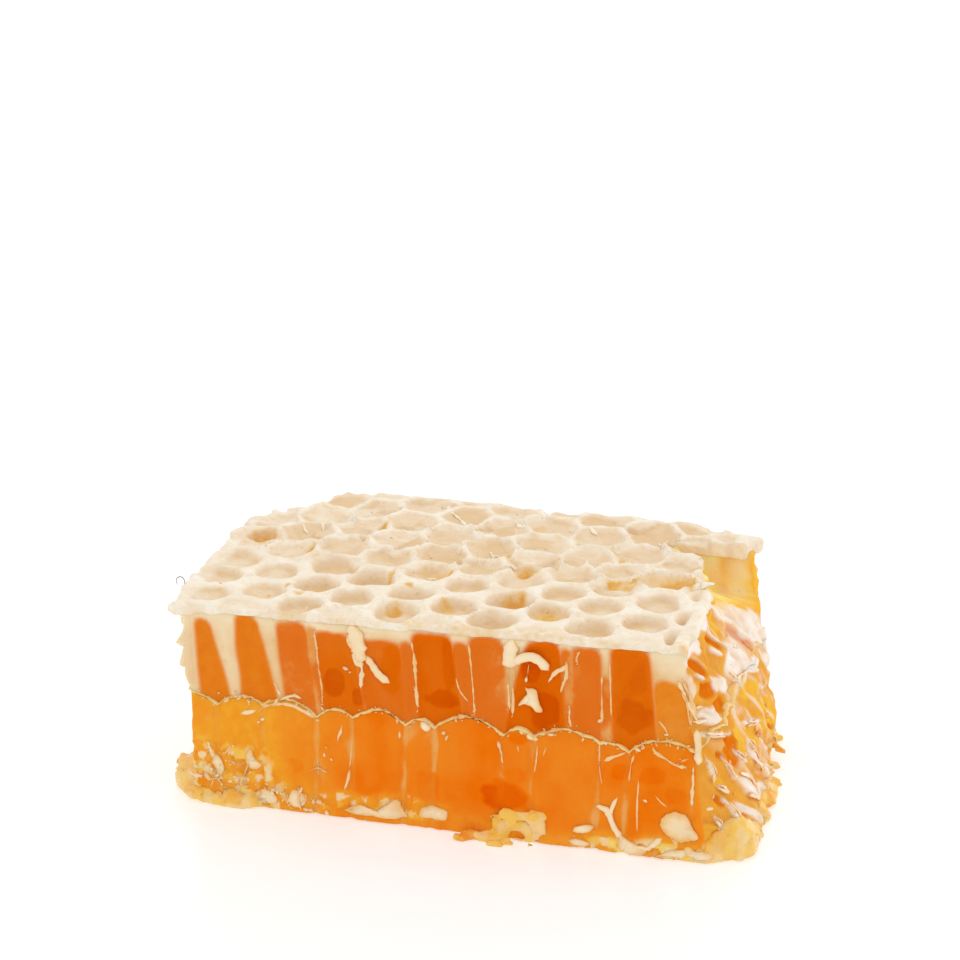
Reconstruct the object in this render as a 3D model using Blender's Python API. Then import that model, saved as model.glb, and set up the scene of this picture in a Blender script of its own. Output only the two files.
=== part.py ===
"""A piece of cut honeycomb: a block sliced out of a sheet of sealed comb, lying on one capped face.

Metres, +Z up. +X runs along the long front cut and +Y towards the back cut. The origin is under
the middle of the block, on the surface it rests on. Five layers run right through the block, from
the bottom up: the crushed foot, the lower cells, the midrib, the upper cells and the wax cappings.
Each layer is one closed solid, with a hair's gap to the next.
"""

import math

import bmesh
import bpy
from mathutils import Vector, geometry, noise

MM = 0.001

# Driving dimensions, in millimetres.
CELL_PITCH = 5.5
CELL_SIDE = CELL_PITCH / math.sqrt(3)
ROW_TURN = math.radians(31.75)
FIRST_CELL = (12.7, -12.3)
BLOCK_HEIGHT = 20.9
FOOT_HEIGHT = 3.0
MIDRIB_HEIGHT = 10.3
MIDRIB_THICKNESS = 0.8
MIDRIB_ARCH = 1.2
CAPPING_THICKNESS = 2.1
CAPPING_HANG = 0.3
LAYER_GAP = 0.3

# The knife's cuts, as plan corners at the top and at the foot, counter-clockwise from the front left.
TOP_CORNERS = [
    (-27.2, -16.3),
    (22.2, -14.4),
    (22.3, -9.5),
    (21.3, 1.0),
    (22.5, 16.2),
    (15.2, 18.7),
    (-21.5, 18.7),
    (-28.2, 8.0),
    (-28.0, -5.0),
]
FOOT_CORNERS = [
    (-27.0, -15.9),
    (25.2, -16.9),
    (29.6, -12.9),
    (28.0, -0.5),
    (25.0, 17.0),
    (16.0, 18.6),
    (-21.0, 18.4),
    (-27.4, 7.6),
    (-27.0, -4.0),
]

# How a cut looks: across the rows it shows flat panels between hollowed cells, along the rows only cells.
PANEL_MIDDLE = 1.9
ACROSS_PERIOD = math.sqrt(3) * CELL_PITCH
ACROSS_RELIEF = [0.15, 0.0, 0.15, -0.65, -0.85, -0.65]
ALONG_RELIEF = [0.15, -0.55, -0.75, -0.55]
UPPER_LEAN = math.tan(math.radians(-8.0))
LOWER_LEAN = math.tan(math.radians(5.0))
CELL_RINGS = [(0.0, 0.0), (0.15, 1.0), (0.5, 1.0), (0.85, 1.0), (1.0, 0.0)]
SHARP_EDGE = math.radians(55)
CORNER_CLEARANCE = 1.1
TORN_DEPTH = 0.7

# Dimples of the wax cappings: deep along the front cut, faint towards the back.
BOWL_RADIUS = 0.41 * CELL_PITCH
FRONT_DIMPLE = 1.6
BACK_DIMPLE = 0.8
DIMPLE_CHANGE = (-8.0, 2.0)
UNEVENNESS = 0.4
OVERHANG = 0.8
RAGGED_EDGE = 0.75

# Lumps of crushed wax and honey around the foot: plan place, reach beyond the cut and width.
FOOT_LUMPS = [
    ((-28.5, -11.0), 4.7, 5.2),
    ((6.0, -16.3), 2.3, 3.4),
    ((19.0, -16.7), 0.8, 4.5),
    ((29.5, -12.5), 0.9, 5.0),
    ((-20.0, 18.5), 0.9, 5.0),
    ((10.0, 18.5), 0.8, 5.0),
]
FOOT_SWELL = [-0.5, 0.55, 0.75, 0.2]


def lerp(a, b, share):
    """The value that lies the given share of the way from a to b."""
    return a + (b - a) * share


def smooth(low, high, value):
    """Rises smoothly from 0 at low to 1 at high."""
    share = min(1.0, max(0.0, (value - low) / (high - low)))
    return share * share * (3 - 2 * share)


def uneven(x, y, z, size):
    """Gentle unevenness between about -1 and 1, with bumps of the given size in millimetres."""
    return 1.6 * noise.noise(Vector((x / size, y / size, z / size)))


def comb_cells(first, rows):
    """Middles of the cells of one face of the comb, each a little out of true."""
    cells = []
    for i in range(-rows, rows + 1):
        for j in range(-rows, rows + 1):
            along = (i + j / 2) * CELL_PITCH
            across = j * math.sqrt(3) / 2 * CELL_PITCH
            x = first[0] + along * math.cos(ROW_TURN) - across * math.sin(ROW_TURN)
            y = first[1] + along * math.sin(ROW_TURN) + across * math.cos(ROW_TURN)
            cells.append((x + 0.35 * uneven(x, y, 3.0, 7.0), y + 0.35 * uneven(x, y, 9.0, 7.0)))
    return cells


UPPER_COMB = comb_cells(FIRST_CELL, 11)
LOWER_COMB = comb_cells((FIRST_CELL[0] - CELL_SIDE, FIRST_CELL[1]), 11)


def nearest_cell(comb, x, y):
    """Distance to the nearest cell middle, and that middle."""
    return min((math.hypot(x - cx, y - cy), (cx, cy)) for cx, cy in comb)


def side_stops(start, end, across, shift):
    """Stops along one cut from start to end: the share of the way and the depth of the relief there."""
    run = Vector(end) - Vector(start)
    period = ACROSS_PERIOD if across else CELL_PITCH
    relief = ACROSS_RELIEF if across else ALONG_RELIEF
    spacing = period / len(relief)
    heading = 0 if across else 1
    first, length = start[heading], run[heading]
    stops = [(0.0, 0.0)]
    count = int(abs(length) / spacing) + 2
    sign = 1 if length > 0 else -1
    offset = math.ceil((first - PANEL_MIDDLE) * sign / spacing)
    for k in range(offset, offset + count):
        place = PANEL_MIDDLE + sign * k * spacing
        from_start = (place - first) * sign
        if CORNER_CLEARANCE < from_start < abs(length) - CORNER_CLEARANCE:
            stops.append((from_start / abs(length), relief[(k * sign + 1 + shift) % len(relief)]))
    return stops


def rim_stops(shift):
    """Every stop of the rim: its side, share of the side, relief, and how freely it may lean."""
    rim = []
    count = len(TOP_CORNERS)
    for side in range(count):
        start, end = TOP_CORNERS[side], TOP_CORNERS[(side + 1) % count]
        across = abs(end[0] - start[0]) > abs(end[1] - start[1])
        for share, relief in side_stops(start, end, across, shift):
            rim.append((side, share, relief, math.sin(math.pi * share) ** 0.5))
    return rim


def cut_point(stop, height, lean, carved):
    """Plan point of a rim stop at a height, and the outward direction there.

    carved runs from 0, the plain knife cut, to 1, the cells' full relief and lean.
    """
    side, share, relief, freedom = stop
    after = (side + 1) % len(TOP_CORNERS)
    up = height / BLOCK_HEIGHT
    start = Vector(FOOT_CORNERS[side]).lerp(Vector(TOP_CORNERS[side]), up)
    end = Vector(FOOT_CORNERS[after]).lerp(Vector(TOP_CORNERS[after]), up)
    run = (end - start).normalized()
    outward = Vector((run.y, -run.x))
    slide = lean * (height - MIDRIB_HEIGHT) * freedom * run.x
    point = start.lerp(end, share) + (run * slide + outward * relief) * carved
    torn = smooth(20.0, 23.0, point.x) * TORN_DEPTH * uneven(point.x, point.y, height, 2.6)
    return point + outward * torn * carved, outward


def midrib_height(x, y):
    """Middle of the midrib: it arches up over each lower cell."""
    distance, _ = nearest_cell(LOWER_COMB, x, y)
    arch = 1.0 - min(1.0, distance / CELL_SIDE) ** 2
    return MIDRIB_HEIGHT + MIDRIB_ARCH * arch + 0.3 * uneven(x, y, 0.0, 9.0)


def midrib_floor(x, y):
    return midrib_height(x, y) - MIDRIB_THICKNESS / 2


def midrib_ceiling(x, y):
    return midrib_height(x, y) + MIDRIB_THICKNESS / 2


def lower_cells_ceiling(x, y):
    return midrib_floor(x, y) - LAYER_GAP


def upper_cells_floor(x, y):
    return midrib_ceiling(x, y) + LAYER_GAP


def foot_ceiling(x, y):
    return FOOT_HEIGHT + 0.5 * uneven(x, y, 5.0, 5.0)


def lower_cells_floor(x, y):
    return foot_ceiling(x, y) + LAYER_GAP


def ground(x, y):
    return 0.0


def cappings_floor(x, y):
    """Underside of the wax: it hangs lower over the walls between the upper cells."""
    distance, _ = nearest_cell(UPPER_COMB, x, y)
    hang = smooth(0.3 * CELL_PITCH, CELL_SIDE, distance)
    return BLOCK_HEIGHT - CAPPING_THICKNESS - CAPPING_HANG * hang


def upper_cells_ceiling(x, y):
    return cappings_floor(x, y) - LAYER_GAP


def cappings_ceiling(x, y):
    """Top of the wax: rounded ridges round a dimple over each cell."""
    distance, middle = nearest_cell(UPPER_COMB, x, y)
    depth = lerp(FRONT_DIMPLE, BACK_DIMPLE, smooth(*DIMPLE_CHANGE, middle[1]))
    depth *= 1.0 + 0.3 * uneven(*middle, 2.0, 3.0)
    bowl = 1.0 - smooth(0.7 * BOWL_RADIUS, 1.4 * BOWL_RADIUS, distance)
    return BLOCK_HEIGHT - depth * bowl + UNEVENNESS * uneven(x, y, 7.0, 6.0)


def no_swell(point, height):
    return 0.0


def midrib_swell(point, height):
    """The midrib's torn edge stands just proud of the cuts."""
    return 0.2 + 0.25 * uneven(point.x, point.y, height, 1.7)


def cappings_swell(point, height):
    """Ragged flaps of wax hang over the cuts, most of all over the left one."""
    left = smooth(-24.0, -27.5, point.x)
    ragged = RAGGED_EDGE * uneven(point.x, point.y, height, 2.3)
    return OVERHANG * (0.5 + left) + ragged * (0.4 + 0.6 * left)


def foot_swell(point, height):
    """Lumps of crushed wax and honey squeezed out round the foot."""
    lumps = 0.0
    for place, reach, width in FOOT_LUMPS:
        lumps += reach * math.exp(-((point - Vector(place)).length / width) ** 2)
    step = height / FOOT_HEIGHT * (len(FOOT_SWELL) - 1)
    below = min(int(step), len(FOOT_SWELL) - 2)
    profile = lerp(FOOT_SWELL[below], FOOT_SWELL[below + 1], step - below)
    return profile + lumps * (1.0 - 0.5 * height / FOOT_HEIGHT)


def room_inside(point, ring):
    """Distance from a point inside the ring to the ring, or a negative number outside it."""
    nearest = math.inf
    inside = False
    for a, b in zip(ring, ring[1:] + ring[:1]):
        closest, share = geometry.intersect_point_line(point, a, b)
        if share <= 0.0:
            closest = a
        elif share >= 1.0:
            closest = b
        nearest = min(nearest, (point - Vector(closest[:2])).length)
        if (a.y > point.y) != (b.y > point.y):
            if point.x < a.x + (b.x - a.x) * (point.y - a.y) / (b.y - a.y):
                inside = not inside
    return nearest if inside else -nearest


def comb_points(comb, dimpled):
    """Points that carry the comb's pattern: cell middles and the corners between cells.

    A dimpled surface also has the middles of the ridges and a ring round each bowl.
    """
    around = [(CELL_SIDE, 0.5), (CELL_SIDE, 1.5)]
    if dimpled:
        around += [(CELL_PITCH / 2, turn) for turn in range(3)]
        around += [(BOWL_RADIUS, turn + 0.5) for turn in range(6)]
    points = {}
    for x, y in comb:
        points[x, y] = Vector((x, y))
        for radius, turn in around:
            angle = ROW_TURN + turn * math.pi / 3
            point = Vector((x + radius * math.cos(angle), y + radius * math.sin(angle)))
            points[round(point.x, 2), round(point.y, 2)] = point
    return list(points.values())


def interface(height, comb, dimpled=False):
    """Plan of the surface between two layers: points inside the plain cut, and triangles over rim and points."""
    ring = [cut_point(stop, height, 0.0, 0.0)[0] for stop in rim_stops(0)]
    inner = [point for point in comb_points(comb, dimpled) if room_inside(point, ring) > CORNER_CLEARANCE]
    count = len(ring)
    edges = [(k, (k + 1) % count) for k in range(count)]
    result = geometry.delaunay_2d_cdt(ring + inner, edges, [], 1, 1e-6)
    sources = [source[0] for source in result[3]]
    return inner, [[sources[index] for index in triangle] for triangle in result[2]]


def close_with_surface(bm, ring_verts, plan, height_of, facing_up):
    """Closes a layer with the surface whose plan is given, at the heights of height_of."""
    inner, triangles = plan
    verts = ring_verts + [bm.verts.new((*point, height_of(*point))) for point in inner]
    for triangle in triangles:
        corners = [verts[index] for index in triangle]
        bm.faces.new(corners if facing_up else corners[::-1])


def layer_mesh(name, heights, lean, shift, swell, plans, surfaces, rings):
    """One layer as a closed mesh.

    rings lists the rings up its cut sides as pairs: share of the layer's height, and share of the
    cells' relief. plans are those of the surfaces below and above, whose heights surfaces gives.
    """
    floor_of, ceiling_of = surfaces
    bm = bmesh.new()
    made = []
    for share, carved in rings:
        height = lerp(*heights, share)
        verts = []
        for stop in rim_stops(shift):
            point, outward = cut_point(stop, height, lean, carved)
            point += outward * swell(point, height)
            z = lerp(floor_of(*point), ceiling_of(*point), share)
            verts.append(bm.verts.new((*point, z)))
        made.append(verts)
    for low, high in zip(made, made[1:]):
        for k in range(len(low)):
            after = (k + 1) % len(low)
            bm.faces.new((low[k], low[after], high[after], high[k]))
    close_with_surface(bm, made[0], plans[0], floor_of, False)
    close_with_surface(bm, made[-1], plans[1], ceiling_of, True)
    bmesh.ops.triangulate(bm, faces=bm.faces[:])
    bmesh.ops.scale(bm, vec=(MM, MM, MM), verts=bm.verts[:])
    mesh = bpy.data.meshes.new(name)
    bm.to_mesh(mesh)
    bm.free()
    return mesh


def food_material(name, colour, roughness):
    """A Principled material of the layer's own colour."""
    material = bpy.data.materials.new(name)
    material.use_nodes = True
    shader = material.node_tree.nodes["Principled BSDF"]
    shader.inputs["Base Color"].default_value = (*colour, 1.0)
    shader.inputs["Roughness"].default_value = roughness
    shader.inputs["Metallic"].default_value = 0.0
    material.diffuse_color = (*colour, 1.0)
    return material


def add_layer(block, mesh, material):
    """The layer as an object of its own, standing on the block's empty."""
    mesh.materials.append(material)
    mesh.shade_smooth()
    mesh.set_sharp_from_angle(angle=SHARP_EDGE)
    layer = bpy.data.objects.new(mesh.name, mesh)
    bpy.context.scene.collection.objects.link(layer)
    layer.parent = block
    return layer


def foot(plans):
    """Crushed cappings and honey that the block was pressed down on: a flat face below, lumps all round."""
    heights = (0.0, FOOT_HEIGHT)
    surfaces = (ground, foot_ceiling)
    rings = [(0.0, 0.0), (0.35, 1.0), (0.7, 1.0), (1.0, 0.0)]
    return layer_mesh("foot_crushed", heights, 0.0, 3, foot_swell, plans, surfaces, rings)


def lower_cells(plans):
    """Honey-filled cells of the comb's lower face, which lean the other way from the upper ones."""
    heights = (FOOT_HEIGHT, MIDRIB_HEIGHT)
    surfaces = (lower_cells_floor, lower_cells_ceiling)
    return layer_mesh("lower_cells", heights, LOWER_LEAN, 3, no_swell, plans, surfaces, CELL_RINGS)


def midrib(plans):
    """The sheet of wax that both faces of the comb are built on."""
    heights = (MIDRIB_HEIGHT, MIDRIB_HEIGHT + MIDRIB_THICKNESS)
    surfaces = (midrib_floor, midrib_ceiling)
    rings = [(0.0, 0.0), (1.0, 0.0)]
    return layer_mesh("midrib_wax", heights, 0.0, 3, midrib_swell, plans, surfaces, rings)


def upper_cells(plans):
    """Honey-filled cells of the comb's upper face."""
    heights = (MIDRIB_HEIGHT + MIDRIB_THICKNESS, BLOCK_HEIGHT - CAPPING_THICKNESS)
    surfaces = (upper_cells_floor, upper_cells_ceiling)
    return layer_mesh("upper_cells", heights, UPPER_LEAN, 0, no_swell, plans, surfaces, CELL_RINGS)


def cappings(plans):
    """The wax that seals the upper cells, dimpled over each one and ragged round its edge."""
    heights = (BLOCK_HEIGHT - CAPPING_THICKNESS, BLOCK_HEIGHT)
    surfaces = (cappings_floor, cappings_ceiling)
    rings = [(0.0, 0.0), (0.5, 0.0), (1.0, 0.0)]
    return layer_mesh("cappings_wax", heights, 0.0, 0, cappings_swell, plans, surfaces, rings)


def settle(block, layers):
    """Moves the block so that its origin is under the middle of its outline, on the floor."""
    corners = [layer.matrix_basis @ vert.co for layer in layers for vert in layer.data.vertices]
    lowest = Vector([min(corner[axis] for corner in corners) for axis in range(3)])
    highest = Vector([max(corner[axis] for corner in corners) for axis in range(3)])
    middle = (lowest + highest) / 2
    block.location = (-middle.x, -middle.y, -lowest.z)


def main():
    for old in list(bpy.data.objects):
        bpy.data.objects.remove(old)
    cream_wax = food_material("cream_wax", (0.84, 0.70, 0.47), 0.5)
    upper_honey = food_material("upper_honey", (0.73, 0.16, 0.012), 0.2)
    midrib_wax = food_material("midrib_wax", (0.80, 0.50, 0.20), 0.45)
    lower_honey = food_material("lower_honey", (0.83, 0.22, 0.014), 0.15)
    crushed_wax = food_material("crushed_wax", (0.84, 0.45, 0.13), 0.3)
    block = bpy.data.objects.new("honeycomb_block", None)
    bpy.context.scene.collection.objects.link(block)
    ground_plan = interface(0.0, LOWER_COMB)
    foot_plan = interface(FOOT_HEIGHT, LOWER_COMB)
    midrib_plan = interface(MIDRIB_HEIGHT, LOWER_COMB)
    cappings_plan = interface(BLOCK_HEIGHT - CAPPING_THICKNESS, UPPER_COMB)
    top_plan = interface(BLOCK_HEIGHT, UPPER_COMB, dimpled=True)
    layers = [
        add_layer(block, foot((ground_plan, foot_plan)), crushed_wax),
        add_layer(block, lower_cells((foot_plan, midrib_plan)), lower_honey),
        add_layer(block, midrib((midrib_plan, midrib_plan)), midrib_wax),
        add_layer(block, upper_cells((midrib_plan, cappings_plan)), upper_honey),
        add_layer(block, cappings((cappings_plan, top_plan)), cream_wax),
    ]
    settle(block, layers)


main()
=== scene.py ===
"""A piece of cut honeycomb, finished over its packed layers.

The sections follow the comb as it comes about: the midrib, the cells of honey below and above it, the
wax lids that seal them, the crushed foot, the loose wax of the front cut, the scraps on the lids, the
shreds of the torn end and a stray hair. Sizes are in millimetres from the middle of the foot, and are
turned into the frame's metres when a mesh is made.
"""

import math

import bpy
import numpy as np
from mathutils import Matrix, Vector


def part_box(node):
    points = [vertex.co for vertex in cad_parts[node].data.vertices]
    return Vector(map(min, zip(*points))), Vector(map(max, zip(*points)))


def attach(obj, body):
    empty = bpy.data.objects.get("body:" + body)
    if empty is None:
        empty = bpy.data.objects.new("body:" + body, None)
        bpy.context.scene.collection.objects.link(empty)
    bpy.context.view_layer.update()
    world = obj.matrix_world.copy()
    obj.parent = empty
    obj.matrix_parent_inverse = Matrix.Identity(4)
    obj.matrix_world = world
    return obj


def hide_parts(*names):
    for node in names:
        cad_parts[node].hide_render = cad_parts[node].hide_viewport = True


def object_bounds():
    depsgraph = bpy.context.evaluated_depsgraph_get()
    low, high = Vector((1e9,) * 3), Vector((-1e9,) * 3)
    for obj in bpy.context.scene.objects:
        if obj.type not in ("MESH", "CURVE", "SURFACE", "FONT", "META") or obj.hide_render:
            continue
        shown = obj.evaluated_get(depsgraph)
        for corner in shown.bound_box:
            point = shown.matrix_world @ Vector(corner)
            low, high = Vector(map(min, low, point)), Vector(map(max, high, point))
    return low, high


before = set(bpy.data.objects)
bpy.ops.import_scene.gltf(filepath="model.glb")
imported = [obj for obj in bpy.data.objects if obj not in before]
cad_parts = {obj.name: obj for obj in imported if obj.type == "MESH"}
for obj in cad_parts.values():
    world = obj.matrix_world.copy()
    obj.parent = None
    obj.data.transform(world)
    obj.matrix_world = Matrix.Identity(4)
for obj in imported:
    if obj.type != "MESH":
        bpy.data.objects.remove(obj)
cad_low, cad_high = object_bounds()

# ---------------------------------------------------------------------------------------------
# Midrib. The thin yellow wax sheet that the bees build first, hanging upright in the hive. Here
# it lies flat: it arches over every lower cell, and the cut leaves a ragged line of it all round.
# ---------------------------------------------------------------------------------------------

# One millimetre in the frame's metres.
MM = 0.001
# How far the crests of the lids stand above the block's plain top.
CREST_ROOM = 0.36
# The middle of the block's foot on the floor, from which every place is measured.
FLOOR_MIDDLE = np.array([(cad_low[0] + cad_high[0]) / 2, (cad_low[1] + cad_high[1]) / 2, cad_low[2]]) / MM
BLOCK_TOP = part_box("cappings_wax")[1][2] / MM - CREST_ROOM
RIB_MEAN = (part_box("midrib_wax")[0][2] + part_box("midrib_wax")[1][2]) / 2 / MM
# The corners of the cut block at its top and at its foot, from the front left one round by the right.
PLAN_TOP = np.array([
    (-27.0, -16.8), (22.2, -14.9), (22.3, -10.0), (21.3, 0.5), (22.4, 15.7),
    (15.1, 18.2), (-21.6, 18.2), (-28.0, 7.5), (-27.8, -5.5),
])
PLAN_FOOT = np.array([
    (-26.7, -16.4), (25.1, -17.3), (28.6, -13.4), (27.6, -1.0), (24.9, 16.4),
    (15.9, 18.0), (-21.0, 17.9), (-27.2, 7.1), (-26.8, -4.5),
])
# How close the points stand along each side, and over how many of them a corner is rounded.
SIDE_STEPS = [0.12, 0.16, 0.16, 0.11, 0.26, 0.26, 0.26, 0.26, 0.26]
CORNER_SOFTNESS = 4
# The comb: across a cell's flats, along one of its walls, how its rows lie, and the middle of one of
# the lower cells.
CELL_PITCH = 5.5
CELL_SIDE = CELL_PITCH / math.sqrt(3)
ROW_TURN = math.radians(31.75)
LOWER_FIRST = (10.8, -15.9)
RIB_WIDTH = 0.3
RIB_ROWS = 7
# Farther than anything on the block.
FAR = 1e9
# Along the front cut: where each lower wall meets the midrib, its height there, and the top of the
# arch after it.
FRONT_ARCHES = [
    (-27.4, 11.5, 11.3),
    (-23.8, 10.3, 11.5),
    (-19.2, 10.8, 11.65),
    (-13.7, 10.15, 11.2),
    (-10.1, 10.5, 11.5),
    (-4.8, 10.35, 10.95),
    (-1.9, 10.3, 11.7),
    (4.9, 10.35, 11.15),
    (7.8, 10.45, 11.5),
    (14.4, 10.7, 10.7),
    (17.1, 10.0, 11.45),
    (23.4, 10.6, 11.2),
    (27.0, 10.8, 10.8),
]


def smooth(low, high, value):
    """Rises smoothly from 0 at low to 1 at high."""
    share = np.clip((value - low) / (high - low), 0.0, 1.0)
    return share * share * (3.0 - 2.0 * share)


def mix(a, b, share):
    """The value a share of the way from a to b."""
    return a + (b - a) * share


# Random heights at the corners of a grid: every uneven surface of the comb takes its bumps from them.
BUMPS = np.random.default_rng(11).uniform(-1.0, 1.0, (32, 32, 32)).astype(np.float32)


def uneven(x, y, z, size, seed=0):
    """Smooth random bumps between -1 and 1, each about size millimetres across."""
    places = [np.asarray(v, np.float32) / size + 0.37 * seed + 5.1 * n for n, v in enumerate((x, y, z))]
    places = np.broadcast_arrays(*places)
    bases = [np.floor(v).astype(np.int32) for v in places]
    parts = [v - base for v, base in zip(places, bases)]
    parts = [v * v * (3.0 - 2.0 * v) for v in parts]
    total = 0.0
    for corner in range(8):
        bits = [corner >> axis & 1 for axis in range(3)]
        weight = 1.0
        for part, bit in zip(parts, bits):
            weight = weight * (part if bit else 1.0 - part)
        i, j, k = [(base + bit + seed * 7) & 31 for base, bit in zip(bases, bits)]
        total = total + weight * BUMPS[i, j, k]
    return total


# How far the middle of each cell strays from the true comb, across and back.
STRAY = np.random.default_rng(5).normal(0.0, 0.3, (2, 64, 64)).clip(-0.55, 0.55).astype(np.float32)


def comb_at(x, y, first, seed, inward=None):
    """The comb at plan points: distance to the cell's middle, to its nearest wall, the cell's indices.

    With a plan direction inward, also the distance to the first wall that way.
    """
    cos, sin = math.cos(ROW_TURN), math.sin(ROW_TURN)
    row = CELL_PITCH * math.sqrt(3) / 2
    dx, dy = x - first[0], y - first[1]
    v = (dy * cos - dx * sin) / row
    u = (dx * cos + dy * sin) / CELL_PITCH - v / 2
    i0, j0 = np.rint(u).astype(np.int32), np.rint(v).astype(np.int32)
    # The nearest of the nine cells round the place is its own.
    best = np.full(np.shape(x), FAR, np.float32)
    middle = [np.zeros_like(best), np.zeros_like(best)]
    index = [np.zeros_like(i0), np.zeros_like(i0)]
    around = []
    for di in (-1, 0, 1):
        for dj in (-1, 0, 1):
            i, j = i0 + di, j0 + dj
            along, across = (i + j / 2) * CELL_PITCH, j * row
            a, b = (i + 9 * seed) & 63, (j + 17 * seed) & 63
            cx = first[0] + along * cos - across * sin + STRAY[0, a, b]
            cy = first[1] + along * sin + across * cos + STRAY[1, a, b]
            around.append((cx, cy))
            square = (x - cx) ** 2 + (y - cy) ** 2
            nearer = square < best
            best = np.where(nearer, square, best)
            middle = [np.where(nearer, cx, middle[0]), np.where(nearer, cy, middle[1])]
            index = [np.where(nearer, i, index[0]), np.where(nearer, j, index[1])]
    # A wall stands halfway between the middles of two cells.
    wall = np.full(np.shape(x), FAR, np.float32)
    depth = wall.copy()
    for cx, cy in around:
        ex, ey = cx - middle[0], cy - middle[1]
        length = np.hypot(ex, ey)
        other = length > 0.5
        length = np.where(other, length, 1.0)
        far = (((cx + middle[0]) / 2 - x) * ex + ((cy + middle[1]) / 2 - y) * ey) / length
        wall = np.where(other, np.minimum(wall, far), wall)
        if inward is not None:
            towards = (inward[0] * ex + inward[1] * ey) / length
            ahead = other & (towards > 0.05)
            depth = np.where(ahead, np.minimum(depth, far / np.where(ahead, towards, 1.0)), depth)
    return np.sqrt(best), wall, index, depth


def front_rib(x):
    """Height of the midrib's line along the front cut."""
    height = np.full(np.shape(x), RIB_MEAN, np.float32)
    for (left, low_left, peak), (right, low_right, _) in zip(FRONT_ARCHES, FRONT_ARCHES[1:]):
        share = (x - left) / (right - left)
        base = mix(low_left, low_right, share)
        rise = peak - (low_left + low_right) / 2
        arch = base + rise * (1.0 - (2.0 * share - 1.0) ** 2)
        height = np.where((share >= 0) & (share < 1), arch, height)
    return height


def rib_height(x, y):
    """Height of the midrib's middle anywhere in the plan."""
    near, _, _, _ = comb_at(x, y, LOWER_FIRST, 2)
    arched = RIB_MEAN - 0.3 + 1.2 * (1.0 - np.clip(near / CELL_SIDE, 0.0, 1.0) ** 2)
    return mix(arched, front_rib(x), smooth(-13.0, -15.0, y)) + 0.12 * uneven(x, y, 0.0, 1.8, 5)


def cut_rings():
    """The knife's outline at the top and at the foot, point for point, with softened corners."""
    top, foot = [], []
    for side, step in enumerate(SIDE_STEPS):
        after = (side + 1) % len(SIDE_STEPS)
        count = round(np.hypot(*(PLAN_TOP[after] - PLAN_TOP[side])) / step)
        shares = (np.arange(count) / count)[:, None]
        for corners, ring in ((PLAN_TOP, top), (PLAN_FOOT, foot)):
            ring.append(mix(corners[side], corners[after], shares))
    reach = 3 * CORNER_SOFTNESS
    kernel = np.exp(-0.5 * (np.arange(-reach, reach + 1) / CORNER_SOFTNESS) ** 2)
    kernel = kernel / kernel.sum()
    rings = []
    for ring in (np.concatenate(top), np.concatenate(foot)):
        padded = np.concatenate([ring[-reach:], ring, ring[:reach]])
        rings.append(np.stack([np.convolve(padded[:, a], kernel, "valid") for a in (0, 1)], 1))
    return rings


RING_TOP, RING_FOOT = cut_rings()


def on_cut(z):
    """The plain cut at heights z, whose rows run round the ring, and its outward directions."""
    place = mix(RING_FOOT, RING_TOP, (z / BLOCK_TOP)[..., None])
    run = np.roll(place, -1, -2) - np.roll(place, 1, -2)
    run /= np.linalg.norm(run, axis=-1, keepdims=True)
    return place[..., 0], place[..., 1], run[..., 1], -run[..., 0]


def rings_closed(rings):
    """Places and triangles of a closed solid: rings one after another, and a fan over each end."""
    rows, count = rings.shape[:2]
    places = np.concatenate([rings.reshape(-1, 3), rings[:1].mean(1), rings[-1:].mean(1)])
    here = np.arange(count)
    after = (here + 1) % count
    start = np.arange(rows - 1)[:, None] * count
    a, b, c, d = start + here, start + after, start + count + after, start + count + here
    sides = np.stack([np.stack([a, b, c], -1), np.stack([a, c, d], -1)]).reshape(-1, 3)
    last = (rows - 1) * count
    first_end, last_end = rows * count, rows * count + 1
    fans = [np.stack([after, here, np.full(count, first_end)], 1)]
    fans.append(np.stack([last + here, last + after, np.full(count, last_end)], 1))
    return places, np.concatenate([sides, *fans])


def make_mesh(name, places, faces, values=None):
    """A smooth mesh from places in millimetres, with a named value at each point."""
    mesh = bpy.data.meshes.new(name)
    faces = np.asarray(faces, np.int32)
    mesh.vertices.add(len(places))
    mesh.vertices.foreach_set("co", ((np.asarray(places) + FLOOR_MIDDLE) * MM).astype(np.float32).ravel())
    mesh.loops.add(faces.size)
    mesh.loops.foreach_set("vertex_index", faces.ravel())
    mesh.polygons.add(len(faces))
    mesh.polygons.foreach_set("loop_start", np.arange(0, faces.size, faces.shape[1], dtype=np.int32))
    mesh.update(calc_edges=True)
    for key, value in (values or {}).items():
        layer = mesh.attributes.new(key, "FLOAT", "POINT")
        layer.data.foreach_set("value", np.asarray(value, np.float32).ravel())
    mesh.shade_smooth()
    return mesh


def ring_mesh(name, x, y, z, values):
    """The mesh of a stack of rings given as rows of x, y and z, with values for each of their points."""
    places, faces = rings_closed(np.stack([x, y, z], -1))
    values = {key: np.append(value, [value[0].mean(), value[-1].mean()]) for key, value in values.items()}
    return make_mesh(name, places, faces, values)


def add_piece(mesh, material, slot, *nodes):
    """Puts a mesh on the block as a piece, with its finish and the layers that it stands for."""
    piece = bpy.data.objects.new(mesh.name, mesh)
    bpy.context.scene.collection.objects.link(piece)
    mesh.materials.append(material)
    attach(piece, "root")
    if nodes:
        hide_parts(*nodes)


def tone(red, green, blue):
    """A colour given as eight-bit screen values, for a shader."""
    shares = [v / 255 for v in (red, green, blue)]
    return tuple(((v + 0.055) / 1.055) ** 2.4 if v > 0.04045 else v / 12.92 for v in shares)


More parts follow.
